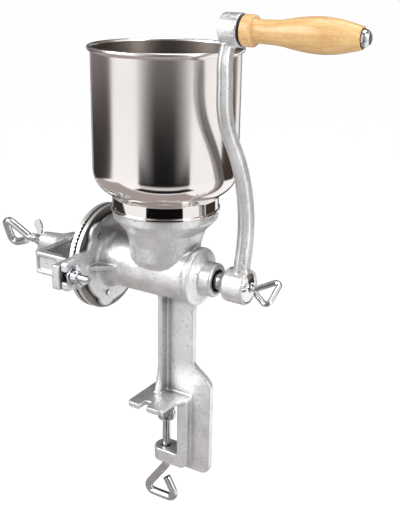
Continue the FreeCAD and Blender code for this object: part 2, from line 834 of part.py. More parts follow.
# ---- shaft with its feed screw ----
auger = new_body("auger")
shaft = sketch_on(auger, "shaft", "XZ_Plane")
outline(
    shaft,
    ("-shaft_front_end", "0"),
    ("-shaft_front_end", "shaft_front_radius"),
    ("-root_start", "shaft_front_radius"),
    ("-root_start", "root_radius"),
    ("root_end", "root_radius"),
    ("root_end", "shaft_radius"),
    ("square_start", "shaft_radius"),
    ("square_start", "0"),
)
turn(auger, shaft)
square = sketch_on(auger, "square", "YZ_Plane", "square_start - edge_round")
outline(
    square,
    ("-square_width / 2", "-square_width / 2"),
    ("square_width / 2", "-square_width / 2"),
    ("square_width / 2", "square_width / 2"),
    ("-square_width / 2", "square_width / 2"),
)
extrude(auger, square, "shaft_rear_end - square_start + edge_round")
flight_section = sketch_on(auger, "flight_section", "XZ_Plane")
outline(
    flight_section,
    ("-root_start", "root_radius - edge_round"),
    ("-root_start + flight_thickness", "root_radius - edge_round"),
    ("-root_start + 0.75 * flight_thickness", "flight_radius"),
    ("-root_start + 0.25 * flight_thickness", "flight_radius"),
)
flight = auger.newObject("PartDesign::AdditiveHelix", "flight")
flight.Profile = flight_section
flight.ReferenceAxis = (flight_section, ["H_Axis"])
flight.Mode = "pitch-height-angle"
bind(flight, "Pitch", "flight_pitch")
bind(flight, "Height", "root_end + root_start - 2 * flight_thickness")
flight.LeftHanded = True
flight_section.Visibility = False
ball_seat = sketch_on(auger, "ball_seat", "YZ_Plane", "-shaft_front_end - edge_round")
circle(ball_seat, "0", "0", "ball_radius + running_clearance")
bore(auger, ball_seat, "shaft_front_end + edge_round - ball_place + ball_radius + end_gap", backwards=True)
shaft_pin_hole = sketch_on(auger, "shaft_pin_hole", "XZ_Plane")
circle(shaft_pin_hole, "-pin_place", "0", "pin_radius + running_clearance")
bore(auger, shaft_pin_hole, "through_cut", both_ways=True)
thread_hole = sketch_on(auger, "thread_hole", "YZ_Plane", "thumb_thread_start - end_gap")
circle(thread_hole, "0", "0", "thumb_thread_radius + running_clearance")
bore(auger, thread_hole, "shaft_rear_end - thumb_thread_start + edge_round", backwards=True)

# ---- pin that drives the moving plate ----
drive_pin = new_body("drive_pin", x="-pin_place")
pin = sketch_on(drive_pin, "pin", "XZ_Plane")
circle(pin, "0", "0", "pin_radius")
extrude(drive_pin, pin, "pin_length", both_ways=True)

# ---- ball that takes the shaft's thrust ----
ball = doc.addObject("Part::Sphere", "thrust_ball")
ball.Label = "thrust_ball"
bind(ball, "Radius", "ball_radius")
bind(ball, "Placement.Base.x", "-ball_place")
bind(ball, "Placement.Base.z", "axis_height")
sub_parts.append(ball)

# ---- yoke: U-shaped bow with a cone boss ----
yoke = new_body("yoke")
bow = sketch_on(yoke, "bow", "XY_Plane")
bow_side = [
    ("-ear_face", "yoke_relief"),
    ("-ear_face", "yoke_lug_reach", "edge_round"),
    ("-ear_face - yoke_lug_thickness", "yoke_lug_reach", "2 * edge_round"),
    ("-ear_face - yoke_lug_thickness", "yoke_outer", "edge_round"),
    ("-yoke_back", "yoke_outer", "4 * edge_round"),
]
bow_inside = [
    ("-yoke_back + yoke_bar", "yoke_outer - yoke_leg", "3 * edge_round"),
    (plate_back + " - slide_room - yoke_leg", "yoke_outer - yoke_leg", "2 * edge_round"),
    (plate_back + " - slide_room", "yoke_relief", "2 * edge_round"),
]
outline(
    bow,
    *bow_side,
    *mirrored(bow_side, flip_first=False),
    *mirrored(bow_inside, flip_first=False),
    *bow_inside,
)
extrude(yoke, bow, "2 * yoke_half_height", both_ways=True)
lugs = sketch_on(yoke, "yoke_lugs", "YZ_Plane", "-ear_face - yoke_lug_thickness")
lug_side = [
    ("yoke_relief", "yoke_half_height"),
    ("yoke_lug_reach", "yoke_half_height", "3 * edge_round"),
    ("yoke_lug_reach", "-yoke_lug_half_height", "3 * edge_round"),
    ("yoke_relief", "-yoke_lug_half_height"),
]
outline(lugs, *lug_side)
outline(lugs, *mirrored(lug_side))
extrude(yoke, lugs, "yoke_lug_thickness")
boss = sketch_on(yoke, "yoke_boss", "XZ_Plane")
outline(
    boss,
    ("-yoke_back + yoke_bar", "0"),
    ("-yoke_back + yoke_bar", "yoke_boss_root"),
    ("-yoke_back", "yoke_boss_root"),
    ("-yoke_back - 12 * edge_round", "yoke_boss_middle", "16 * edge_round"),
    ("-yoke_boss_end", "yoke_boss_radius", "edge_round"),
    ("-yoke_boss_end", "0"),
)
turn(yoke, boss)
hollow = sketch_on(yoke, "leg_hollow", "XZ_Plane", "yoke_outer + edge_round")
hollow_points = [
    ("-yoke_back + yoke_bar / 2", "yoke_hollow_half_height", "2 * edge_round"),
    (plate_back + " - slide_room - yoke_leg", "yoke_hollow_half_height", "2 * edge_round"),
    (plate_back + " - slide_room - yoke_leg", "-yoke_hollow_half_height", "2 * edge_round"),
    ("-yoke_back + yoke_bar / 2", "-yoke_hollow_half_height", "2 * edge_round"),
]
outline(hollow, *hollow_points)
bore(yoke, hollow, "yoke_hollow_depth + edge_round", backwards=False)
far_hollow = sketch_on(yoke, "far_leg_hollow", "XZ_Plane", "-yoke_outer - edge_round")
outline(far_hollow, *hollow_points)
bore(yoke, far_hollow, "yoke_hollow_depth + edge_round", backwards=True)
screw_bore = sketch_on(yoke, "screw_bore", "YZ_Plane", "-yoke_boss_end - edge_round")
circle(screw_bore, "0", "0", "adjuster_radius + running_clearance")
bore(yoke, screw_bore, "yoke_boss_end - yoke_back + yoke_bar + 2 * edge_round", backwards=True)
lug_holes = sketch_on(yoke, "lug_holes", "YZ_Plane", "-ear_face - yoke_lug_thickness - edge_round")
circle(lug_holes, "bolt_offset", "0", "bolt_radius + running_clearance")
circle(lug_holes, "-bolt_offset", "0", "bolt_radius + running_clearance")
bore(yoke, lug_holes, "yoke_lug_thickness + 2 * edge_round", backwards=True)

# ---- adjusting screw with a bent loop; its own +X points away from the mill ----
adjuster = new_body(
    "adjusting_screw",
    x="-ball_place - ball_radius - end_gap",
    rotation=Rotation(Vector(1, 0, 0), size("adjuster_turn")) * Rotation(Vector(0, 0, 1), HALF_TURN),
)
tip = "ball_place + ball_radius + end_gap"
adjuster_shank = sketch_on(adjuster, "adjuster_shank", "XZ_Plane")
outline(
    adjuster_shank,
    ("0", "0"),
    ("0", "adjuster_radius", "edge_round"),
    ("adjuster_thread_end - (" + tip + ")", "adjuster_radius", "edge_round"),
    ("adjuster_thread_end - (" + tip + ")", "0"),
)
turn(adjuster, adjuster_shank)
bent_rod(
    adjuster,
    "adjuster_rod_radius",
    ("adjuster_thread_end - edge_round - (" + tip + ")", "0"),
    ("adjuster_bend_start - (" + tip + ")", "0", "loop_bend"),
    ("adjuster_loop_end - (" + tip + ")", "adjuster_loop_half_width", "loop_bend"),
    ("adjuster_loop_end - (" + tip + ")", "-adjuster_loop_half_width", "loop_bend"),
    ("adjuster_tip_place - (" + tip + ")", "-adjuster_tip_offset"),
)


def wing_nut(label, sizes_named, x, y, rotation):
    """Wing nut standing on the plane X = 0 of its own placement, wings along Z."""
    hub_radius, hub_height, reach, height = sizes_named
    nut = new_body(label, x=x, y=y, rotation=rotation)
    hub = sketch_on(nut, label + "_hub", "XZ_Plane")
    outline(
        hub,
        ("0", "0"),
        ("0", hub_radius),
        (hub_height, hub_radius + " - edge_round", "edge_round"),
        (hub_height, "0"),
    )
    turn(nut, hub)
    wings = sketch_on(nut, label + "_wings", "XZ_Plane")
    wing_side = [
        (hub_height + " - edge_round", "bolt_radius + edge_round", "2 * edge_round"),
        (height, reach + " - 3.2 * edge_round", "edge_round"),
        (height + " - edge_round", reach, "2 * edge_round"),
        ("0.5 * (" + height + ")", reach, "3 * edge_round"),
        ("edge_round", "bolt_radius + edge_round"),
    ]
    outline(wings, *wing_side, *mirrored(wing_side, flip_first=False))
    extrude(nut, wings, "wing_thickness", both_ways=True)
    return nut


def nut_bore(nut, radius):
    """Through bore along the nut's own X axis."""
    hole = sketch_on(nut, nut.Name + "_bore", "YZ_Plane", "-edge_round")
    circle(hole, "0", "0", radius + " + running_clearance")
    bore(nut, hole, "through_cut", backwards=True)


def bolt_set(side, y):
    """Bolt, washer and wing nut that hold one lug of the yoke to one ear."""
    bolt = new_body(side + "_yoke_bolt", y=y)
    profile = sketch_on(bolt, side + "_bolt_profile", "XZ_Plane")
    outline(
        profile,
        ("-ear_face - yoke_lug_thickness - bolt_head_height", "0"),
        ("-ear_face - yoke_lug_thickness - bolt_head_height", "bolt_head_radius", "2 * edge_round"),
        ("-ear_face - yoke_lug_thickness", "bolt_head_radius"),
        ("-ear_face - yoke_lug_thickness", "bolt_radius"),
        ("-bolt_end", "bolt_radius", "0.8 * edge_round"),
        ("-bolt_end", "0"),
    )
    turn(bolt, profile)
    washer = new_body(side + "_yoke_washer", x="-flange_face + flange_thickness", y=y)
    ring = sketch_on(washer, side + "_washer_ring", "YZ_Plane")
    circle(ring, "0", "0", "washer_radius")
    circle(ring, "0", "0", "bolt_radius + running_clearance")
    extrude(washer, ring, "washer_thickness")
    nut = wing_nut(
        side + "_wing_nut",
        ("wing_hub_radius", "wing_hub_height", "wing_reach", "wing_height"),
        "-flange_face + flange_thickness + washer_thickness",
        y,
        None,
    )
    nut_bore(nut, "bolt_radius")


# ---- bolts, washers and wing nuts of the two ears ----
bolt_set("near", "-bolt_offset")
bolt_set("far", "bolt_offset")

# ---- lock nut of the adjusting screw ----
lock_nut = wing_nut(
    "adjuster_wing_nut",
    ("lock_hub_radius", "lock_hub_height", "lock_wing_reach", "lock_wing_height"),
    "-lock_place",
    "0",
    Rotation(Vector(0, 0, 1), HALF_TURN),
)
nut_bore(lock_nut, "adjuster_radius")

# ---- crank: hub, arm and handle boss in one casting ----
crank = new_body("crank_arm")
hub = sketch_on(crank, "crank_hub", "XZ_Plane")
outline(
    hub,
    ("hub_inner", "0"),
    ("hub_inner", "hub_neck_radius", "edge_round"),
    ("hub_inner + hub_neck_length", "hub_neck_radius", "edge_round"),
    ("hub_cone_end - 2 * edge_round", "hub_radius", "4 * edge_round"),
    ("hub_cone_end", "hub_radius"),
    ("hub_cone_end + hub_groove", "hub_radius - hub_groove"),
    ("hub_cone_end + 2 * hub_groove", "hub_radius"),
    ("hub_face", "hub_radius", "edge_round"),
    ("hub_face", "hub_recess_radius"),
    ("hub_face - hub_recess_depth", "hub_recess_radius"),
    ("hub_face - hub_recess_depth", "0"),
)
turn(crank, hub)
arm_sections = []
station_count = len(ARM_STATIONS)
for number in range(1, station_count + 1):
    share = (number - 1) / (station_count - 1)
    section = sketch_on(crank, f"arm_section_{number}", "XY_Plane", f"arm_height_{number}")
    half_width = f"(arm_width + {share:.4f} * (arm_top_width - arm_width)) / 2"
    half_thickness = f"(arm_thickness + {share:.4f} * (arm_top_thickness - arm_thickness)) / 2"
    middle = f"arm_offset_{number}"
    outline(
        section,
        ("arm_plane", f"{middle} - {half_width}", "2 * edge_round"),
        (f"arm_plane + {half_thickness}", f"{middle} - 0.45 * {half_width}", "3 * edge_round"),
        (f"arm_plane + {half_thickness}", f"{middle} + 0.45 * {half_width}", "3 * edge_round"),
        ("arm_plane", f"{middle} + {half_width}", "2 * edge_round"),
        (f"arm_plane - {half_thickness}", f"{middle} + 0.45 * {half_width}", "3 * edge_round"),
        (f"arm_plane - {half_thickness}", f"{middle} - 0.45 * {half_width}", "3 * edge_round"),
    )
    arm_sections.append(section)
loft(crank, arm_sections, "arm")
handle_boss = sketch_on(crank, "handle_boss", "YZ_Plane", "handle_boss_inner")
circle(handle_boss, "throw_lean", "throw_height", "handle_boss_radius")
extrude(crank, handle_boss, "handle_boss_outer - handle_boss_inner")
square_hole = sketch_on(crank, "square_hole", "YZ_Plane", "hub_inner - edge_round")
outline(
    square_hole,
    ("-square_width / 2 - running_clearance", "-square_width / 2 - running_clearance"),
    ("square_width / 2 + running_clearance", "-square_width / 2 - running_clearance"),
    ("square_width / 2 + running_clearance", "square_width / 2 + running_clearance"),
    ("-square_width / 2 - running_clearance", "square_width / 2 + running_clearance"),
)
bore(crank, square_hole, "hub_face - hub_inner + 2 * edge_round", backwards=True)
spindle_hole = sketch_on(crank, "spindle_hole", "YZ_Plane", "handle_boss_inner - edge_round")
circle(spindle_hole, "throw_lean", "throw_height", "spindle_radius + running_clearance")
bore(crank, spindle_hole, "handle_boss_outer - handle_boss_inner + 2 * edge_round", backwards=True)

# ---- domed washer in the hub's face ----
cap = new_body("crank_washer")
cap_profile = sketch_on(cap, "cap_profile", "XZ_Plane")
outline(
    cap_profile,
    ("hub_face - hub_recess_depth", "thumb_thread_radius + running_clearance"),
    ("hub_face - hub_recess_depth", "cap_radius"),
    ("hub_face", "cap_radius", "0.8 * edge_round"),
    ("hub_face - hub_recess_depth + cap_dome", "2 * thumb_thread_radius", "10 * edge_round"),
    ("hub_face - hub_recess_depth + cap_dome", "thumb_thread_radius + running_clearance"),
)
turn(cap, cap_profile)

# ---- thumb screw that holds the crank ----
thumb = new_body("crank_thumb_screw", rotation=Rotation(Vector(1, 0, 0), size("thumb_turn")))
thumb_shank = sketch_on(thumb, "thumb_shank", "XZ_Plane")
outline(
    thumb_shank,
    ("thumb_thread_start", "0"),
    ("thumb_thread_start", "thumb_thread_radius", "0.5 * edge_round"),
    ("hub_face - hub_recess_depth + cap_dome", "thumb_thread_radius"),
    ("hub_face - hub_recess_depth + cap_dome", "thumb_thread_radius + edge_round"),
    ("thumb_bend_start - 2 * edge_round", "thumb_thread_radius + edge_round", "0.5 * edge_round"),
    ("thumb_bend_start - 2 * edge_round", "0"),
)
turn(thumb, thumb_shank)
bent_rod(
    thumb,
    "thumb_rod_radius",
    ("thumb_bend_start - 3 * edge_round", "0"),
    ("thumb_bend_start", "0", "3 * edge_round"),
    ("thumb_loop_end", "thumb_loop_half_width", "0.8 * loop_bend"),
    ("thumb_loop_end", "-thumb_loop_half_width", "0.8 * loop_bend"),
    ("thumb_tip_place", "-thumb_tip_offset"),
)

# ---- wooden grip: turned, with a collar and a recess for the bolt's head ----
grip = new_body("handle_grip", y="throw_lean", z="axis_height + throw_height")
collar = sketch_on(grip, "grip_collar", "XZ_Plane")
outline(
    collar,
    ("grip_start", "0"),
    ("grip_start", "grip_collar_radius", "edge_round"),
    ("grip_collar_end", "grip_collar_radius", "1.5 * edge_round"),
    ("grip_collar_end", "grip_neck_radius"),
    ("grip_collar_end + edge_round", "grip_radius_1"),
    ("grip_collar_end + edge_round", "0"),
)
turn(grip, collar)
grip_sections = []
for number in range(1, len(GRIP_STATIONS) + 1):
    place = f"grip_collar_end + grip_share_{number} * (grip_end - grip_collar_end)"
    section = sketch_on(grip, f"grip_section_{number}", "YZ_Plane", place)
    circle(section, "0", "0", f"grip_radius_{number}")
    grip_sections.append(section)
loft(grip, grip_sections, "grip_body")
grip_bore = sketch_on(grip, "grip_bore", "YZ_Plane", "grip_start - edge_round")
circle(grip_bore, "0", "0", "spindle_radius + running_clearance")
bore(grip, grip_bore, "through_cut", backwards=True)
recess = sketch_on(grip, "grip_recess", "YZ_Plane", "grip_end - grip_recess_depth")
circle(recess, "0", "0", "grip_recess_radius")
bore(grip, recess, "grip_recess_depth + edge_round", backwards=True)

# ---- bolt on which the grip turns ----
spindle = new_body("handle_bolt", y="throw_lean", z="axis_height + throw_height")
spindle_profile = sketch_on(spindle, "spindle_profile", "XZ_Plane")
outline(
    spindle_profile,
    ("spindle_inner", "0"),
    ("spindle_inner", "spindle_radius", "0.5 * edge_round"),
    ("grip_end - grip_recess_depth + end_gap", "spindle_radius"),
    ("grip_end - grip_recess_depth + end_gap", "spindle_head_radius"),
    ("grip_end + end_gap + spindle_head_height / 2", "spindle_head_radius", "2 * edge_round"),
    ("grip_end + end_gap + spindle_head_height", "spindle_radius", "3 * edge_round"),
    ("grip_end + end_gap + spindle_head_height", "0"),
)
turn(spindle, spindle_profile)

# ---- swivel pad of the clamp ----
pad = new_body("clamp_pad", x="clamp_axis", z="axis_height - pad_top")
pad_profile = sketch_on(pad, "pad_profile", "XZ_Plane")
outline(
    pad_profile,
    ("clamp_tip_radius + running_clearance", "0"),
    ("pad_radius", "0", "0.6 * edge_round"),
    ("pad_radius", "-pad_skirt"),
    ("pad_radius - pad_skirt_wall", "-pad_skirt"),
    ("pad_radius - pad_skirt_wall", "-pad_thickness"),
    ("clamp_tip_radius + running_clearance", "-pad_thickness"),
)
turn(pad, pad_profile, "V_Axis")

# ---- clamp screw with a bent loop; its own +X points down ----
clamp = new_body("clamp_screw", x="clamp_axis", rotation=Rotation(Vector(0, 1, 0), RIGHT_ANGLE))
clamp_shank = sketch_on(clamp, "clamp_shank", "XZ_Plane")
outline(
    clamp_shank,
    ("pad_top - peen_height", "0"),
    ("pad_top - peen_height", "clamp_tip_radius"),
    ("pad_top + pad_thickness + end_gap", "clamp_tip_radius"),
    ("pad_top + pad_thickness + end_gap", "clamp_screw_radius", "0.5 * edge_round"),
    ("clamp_thread_end", "clamp_screw_radius", "0.5 * edge_round"),
    ("clamp_thread_end", "0"),
)
turn(clamp, clamp_shank)
bent_rod(
    clamp,
    "clamp_rod_radius",
    ("clamp_thread_end - edge_round", "0"),
    ("clamp_bend_start", "0", "loop_bend / 2"),
    ("clamp_loop_end", "-clamp_loop_left", "loop_bend"),
    ("clamp_loop_end", "clamp_loop_right", "loop_bend"),
    ("clamp_cut_height", "-clamp_cut_offset"),
)

doc.recompute()
for item in doc.Objects:
    if "Invalid" in item.State or "Error" in item.State:
        raise RuntimeError(item.Name + " did not recompute")
os.makedirs("parts", exist_ok=True)
for item in sub_parts:
    if item.Shape.isNull() or not item.Shape.isValid():
        raise RuntimeError(item.Label + " has no valid shape")
    item.Shape.exportStep(os.path.join("parts", item.Label + ".step"))
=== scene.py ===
import math

import bmesh
import bpy
from mathutils import Matrix, Vector


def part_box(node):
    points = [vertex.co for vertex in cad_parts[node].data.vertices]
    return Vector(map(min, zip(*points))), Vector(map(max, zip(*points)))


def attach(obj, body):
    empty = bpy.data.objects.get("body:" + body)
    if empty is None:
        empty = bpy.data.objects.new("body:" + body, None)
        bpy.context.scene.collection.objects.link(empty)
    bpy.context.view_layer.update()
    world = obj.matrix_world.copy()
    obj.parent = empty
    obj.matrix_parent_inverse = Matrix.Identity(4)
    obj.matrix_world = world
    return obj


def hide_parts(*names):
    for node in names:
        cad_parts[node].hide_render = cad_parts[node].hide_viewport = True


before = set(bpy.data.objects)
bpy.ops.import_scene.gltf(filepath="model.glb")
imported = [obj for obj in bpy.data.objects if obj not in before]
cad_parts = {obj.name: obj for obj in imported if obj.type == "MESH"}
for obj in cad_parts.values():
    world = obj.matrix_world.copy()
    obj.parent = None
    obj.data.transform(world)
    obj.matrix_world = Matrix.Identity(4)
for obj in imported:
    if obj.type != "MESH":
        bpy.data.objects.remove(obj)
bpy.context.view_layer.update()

# Camera: a still camera on a stand, a little above the barrel and off to the crank's side,
# level but for a degree of roll.
MM = 0.001
BARREL_HEIGHT = 140.0
look_azimuth = math.radians(31.53)
look_height = math.radians(19.38)
look_roll = math.radians(1.03)
look_distance = 881.73 * MM
aim_right = 35.15 * MM
aim_up = (BARREL_HEIGHT + 10.85) * MM
focal_length_pixels = 867.35
picture_height_pixels = 518.0

toward_camera = Vector((
    math.sin(look_azimuth) * math.cos(look_height),
    -math.cos(look_azimuth) * math.cos(look_height),
    math.sin(look_height),
))
level_right = Vector((math.cos(look_azimuth), math.sin(look_azimuth), 0.0))
level_up = toward_camera.cross(level_right)
rolled_right = level_right * math.cos(look_roll) + level_up * math.sin(look_roll)
rolled_up = level_up * math.cos(look_roll) - level_right * math.sin(look_roll)
camera_data = bpy.data.cameras.new("still_camera")
camera_data.sensor_fit = "VERTICAL"
camera_data.lens = focal_length_pixels * camera_data.sensor_height / picture_height_pixels
camera_data.clip_end = 20.0
camera = bpy.data.objects.new("still_camera", camera_data)
bpy.context.scene.collection.objects.link(camera)
camera_place = Matrix((rolled_right, rolled_up, toward_camera)).transposed().to_4x4()
camera_place.translation = level_right * aim_right + Vector((0, 0, aim_up)) + toward_camera * look_distance
camera.matrix_world = camera_place
bpy.context.scene.camera = camera

# Studio: a white room with three soft lamps, a pale floor well below the mill, which hangs by
# its clamp, and dark cloths that only polished metal sees, as are hung for bright ware.
scene = bpy.context.scene
scene.view_settings.view_transform = "Standard"


class Wire:
    """A shader socket that can be written into sums."""

    def __init__(self, finish, socket):
        self.finish = finish
        self.socket = socket

    def maths(self, operation, other=None, swapped=False, clamp=False):
        pair = [other, self] if swapped else [self, other]
        made = self.finish.tree.nodes.new("ShaderNodeMath")
        made.operation = operation
        made.use_clamp = clamp
        for place, value in enumerate(pair):
            if value is not None:
                self.finish.feed(made.inputs[place], value)
        return Wire(self.finish, made.outputs[0])

    def __add__(self, other):
        return self.maths("ADD", other)

    __radd__ = __add__

    def __sub__(self, other):
        return self.maths("SUBTRACT", other)

    def __rsub__(self, other):
        return self.maths("SUBTRACT", other, swapped=True)

    def __mul__(self, other):
        return self.maths("MULTIPLY", other)

    __rmul__ = __mul__

    def held(self):
        """The same number kept between 0 and 1."""
        return self.maths("ADD", 0.0, clamp=True)


class Finish:
    """A node tree that is written as sums of wires."""

    def __init__(self, tree):
        self.tree = tree
        tree.nodes.clear()

    def feed(self, socket, value):
        if isinstance(value, Wire):
            self.tree.links.new(value.socket, socket)
        else:
            socket.default_value = value

    def node(self, kind, settings=None, out=0, **sockets):
        """One node: its settings first, then its sockets by name, or by place as i0, i1."""
        made = self.tree.nodes.new(kind)
        for name, value in (settings or {}).items():
            setattr(made, name, value)
        for name, value in sockets.items():
            by_place = name[0] == "i" and name[1:].isdigit()
            self.feed(made.inputs[int(name[1:]) if by_place else name.replace("_", " ")], value)
        return Wire(self, made.outputs[out])

    def blend(self, share, first, second):
        """Colour between two colours by a share from 0 to 1."""
        colours = [value if isinstance(value, Wire) else (*value, 1.0) for value in (first, second)]
        return self.node("ShaderNodeMix", {"data_type": "RGBA"}, out=2,
                         i0=share, i6=colours[0], i7=colours[1])

    def scaled(self, vector, scale):
        """A vector with each part multiplied."""
        return self.node("ShaderNodeVectorMath", {"operation": "MULTIPLY"}, i0=vector, i1=scale)

    def height(self, vector):
        """The third part of a vector."""
        return self.node("ShaderNodeSeparateXYZ", out=2, Vector=vector)

    def dot(self, first, second):
        """The dot product of two vectors."""
        return self.node("ShaderNodeVectorMath", {"operation": "DOT_PRODUCT"}, out="Value",
                         i0=first, i1=second)

    def end(self, kind, shader):
        self.feed(self.tree.nodes.new(kind).inputs["Surface"], shader)


world = bpy.data.worlds.new("white_room")
scene.world = world
world.use_nodes = True
room = Finish(world.node_tree)
seen = room.node("ShaderNodeLightPath", out="Is Camera Ray")
seen = seen + room.node("ShaderNodeLightPath", out="Is Glossy Ray")
seen = (seen + room.node("ShaderNodeLightPath", out="Is Transmission Ray")).held()
room_level = 0.6
glow = room.node("ShaderNodeBackground", Color=(1, 1, 1, 1), Strength=seen * (1 - room_level) + room_level)
room.end("ShaderNodeOutputWorld", glow)


def soft_lamp(name, place, size, power):
    data = bpy.data.lights.new(name, "AREA")
    data.shape = "RECTANGLE"
    data.size, data.size_y = size
    data.energy = power
    lamp = bpy.data.objects.new(name, data)
    scene.collection.objects.link(lamp)
    lamp.location = place
    hopper_middle = Vector((0.0, 0.0, 0.16))
    lamp.rotation_euler = (hopper_middle - Vector(place)).to_track_quat("-Z", "Y").to_euler()


soft_lamp("left_softbox", (-1.1, -1.2, 1.2), (1.1, 1.2), 20.0)
soft_lamp("right_softbox", (1.5, -0.35, 0.9), (0.6, 1.2), 13.0)
soft_lamp("top_softbox", (0.1, 0.2, 1.7), (1.2, 1.0), 10.0)
soft_lamp("front_softbox", (0.7, -1.2, 1.45), (0.9, 0.7), 11.0)


def studio_sheet(name, rows):
    """A sheet of the studio drawn through rows of two points, and the finish that it is painted with."""
    mesh = bpy.data.meshes.new(name)
    corners = [corner for row in rows for corner in row]
    mesh.from_pydata(corners, [], [(i, i + 1, i + 3, i + 2) for i in range(0, len(corners) - 2, 2)])
    sheet = bpy.data.objects.new(name, mesh)
    scene.collection.objects.link(sheet)
    paint = bpy.data.materials.new(name + "_paint")
    paint.use_nodes = True
    mesh.materials.append(paint)
    return sheet, Finish(paint.node_tree)


floor_height = -0.36
floor_half = 30.0
floor_rows = [[(x * floor_half, y * floor_half, floor_height) for x in (-1, 1)] for y in (-1, 1)]
floor_paint = studio_sheet("studio_floor", floor_rows)[1]
floor_seen = floor_paint.node("ShaderNodeLightPath", out="Is Camera Ray")
floor_seen = (floor_seen + floor_paint.node("ShaderNodeLightPath", out="Is Glossy Ray")).held()
matt = floor_paint.node("ShaderNodeBsdfDiffuse", Color=(0.86, 0.86, 0.86, 1))
white = floor_paint.node("ShaderNodeEmission", Color=(1, 1, 1, 1), Strength=1.06)
floor_glow = floor_paint.node("ShaderNodeMixShader", i0=floor_seen * 0.88, i1=matt, i2=white)
floor_paint.end("ShaderNodeOutputMaterial", floor_glow)


def hidden_but_mirrored(sheet):
    """Leaves a sheet to reflections alone."""
    for ray in ("visible_camera", "visible_diffuse", "visible_shadow", "visible_transmission"):
        setattr(sheet, ray, False)


def flag(name, turn, distance, half_width, low_shade, high_shade, bottom, top, paler=(0.0, 1.0), soft=0.0):
    """A dark cloth that only polished metal sees, hung round from the camera by a turn in degrees.

    Its shade changes between two heights, and its edges thin out to white over the soft width.
    """
    azimuth = look_azimuth + math.radians(turn)
    outward = Vector((math.sin(azimuth), -math.cos(azimuth), 0.0))
    along = Vector((math.cos(azimuth), math.sin(azimuth), 0.0))
    spots = [outward * distance + Vector((0, 0, height)) for height in (bottom, top)]
    rows = [(spot - along * half_width, spot + along * half_width) for spot in spots]
    cloth, weave = studio_sheet(name, rows)
    spot = weave.node("ShaderNodeTexCoord", out="Object")
    rise = ((weave.height(spot) - paler[0]) * (1 / (paler[1] - paler[0]))).held()
    shade = weave.blend(rise * rise, low_shade, high_shade)
    if soft:
        aside = weave.dot(spot, along).maths("ABSOLUTE")
        thin = ((aside - (half_width - soft)) * (1 / soft)).held()
        shade = weave.blend(thin * (thin * 0.5 + 0.5), shade, (1, 1, 1))
    weave.end("ShaderNodeOutputMaterial", weave.node("ShaderNodeEmission", Color=shade))
    hidden_but_mirrored(cloth)


hem = floor_height + 0.01
black, dusk = (0.004, 0.0035, 0.004), (0.18, 0.165, 0.16)
front_distance, front_half, neck_seam = 0.75, 0.597, 0.035
flag("flag_low", 0, front_distance, front_half, (0.75, 0.74, 0.73), black, hem, neck_seam, (-0.25, -0.07))
flag("flag_middle", 0, front_distance, 0.68, black, dusk, neck_seam, 1.5, (0.08, 0.25), soft=0.5)
flag("flag_left", -132, 1.6, 1.78, (0.04, 0.033, 0.032), (0.22, 0.195, 0.19),
     hem, 1.5, (-0.13, 0.15), soft=0.4)
flag("flag_right", 116, 1.6, 0.58, (0.05, 0.037, 0.03), (0.22, 0.18, 0.15), hem, 1.5, (-0.13, 0.15))
flag("flag_behind", 180, 1.4, 2.1, (0.02, 0.018, 0.018), (0.05, 0.045, 0.045), 0.55, 2.4)
flag("flag_outline", 180, 0.7, 0.42, (0.05, 0.048, 0.05), (0.05, 0.048, 0.05), hem, 0.42, soft=0.14)


def level_sheet(name, height, rights, backs, shade):
    """A level cloth that only polished metal sees, between distances to the mill's right and behind it."""
    level_back = Vector((-math.sin(look_azimuth), math.cos(look_azimuth), 0.0))
    rows = []
    for back in backs:
        row_start = level_back * back + Vector((0, 0, height))
        rows.append([row_start + level_right * right for right in rights])
    cloth, weave = studio_sheet(name, rows)
    weave.end("ShaderNodeOutputMaterial", weave.node("ShaderNodeEmission", Color=(*shade, 1.0)))
    hidden_but_mirrored(cloth)


level_sheet("studio_ceiling", 2.3, (-1.9, 1.9), (-1.9, 1.9), (0.16, 0.155, 0.15))
level_sheet("table_cloth", hem, (-1.5, 0.33), (-0.4, 1.3), (0.4, 0.35, 0.34))
level_sheet("front_cloth", hem, (-front_half, front_half), (-front_distance, -0.45), black)

# Mill body: barrel, throat, leg and clamp frame are one grey-iron casting, poured in sand, tumbled
# and dipped bright. The skin keeps the sand's grain and small pits, and its edges are rubbed.


def new_finish(name):
    material = bpy.data.materials.new(name)
    material.use_nodes = True
    finish = Finish(material.node_tree)
    finish.material = material
    finish.shader = finish.tree.nodes.new("ShaderNodeBsdfPrincipled")
    finish.end("ShaderNodeOutputMaterial", Wire(finish, finish.shader.outputs[0]))
    finish.place = finish.node("ShaderNodeTexCoord", out="Object")
    return finish


def worn_edges(finish, radius, gain=6.0):
    """The rounded normal, and how sharply the surface turns: 0 on a flat, 1 on an edge."""
    soft = finish.node("ShaderNodeBevel", {"samples": 4}, Radius=radius)
    true = finish.node("ShaderNodeNewGeometry", out="Normal")
    return soft, ((1 - finish.dot(soft, true)) * gain).held()


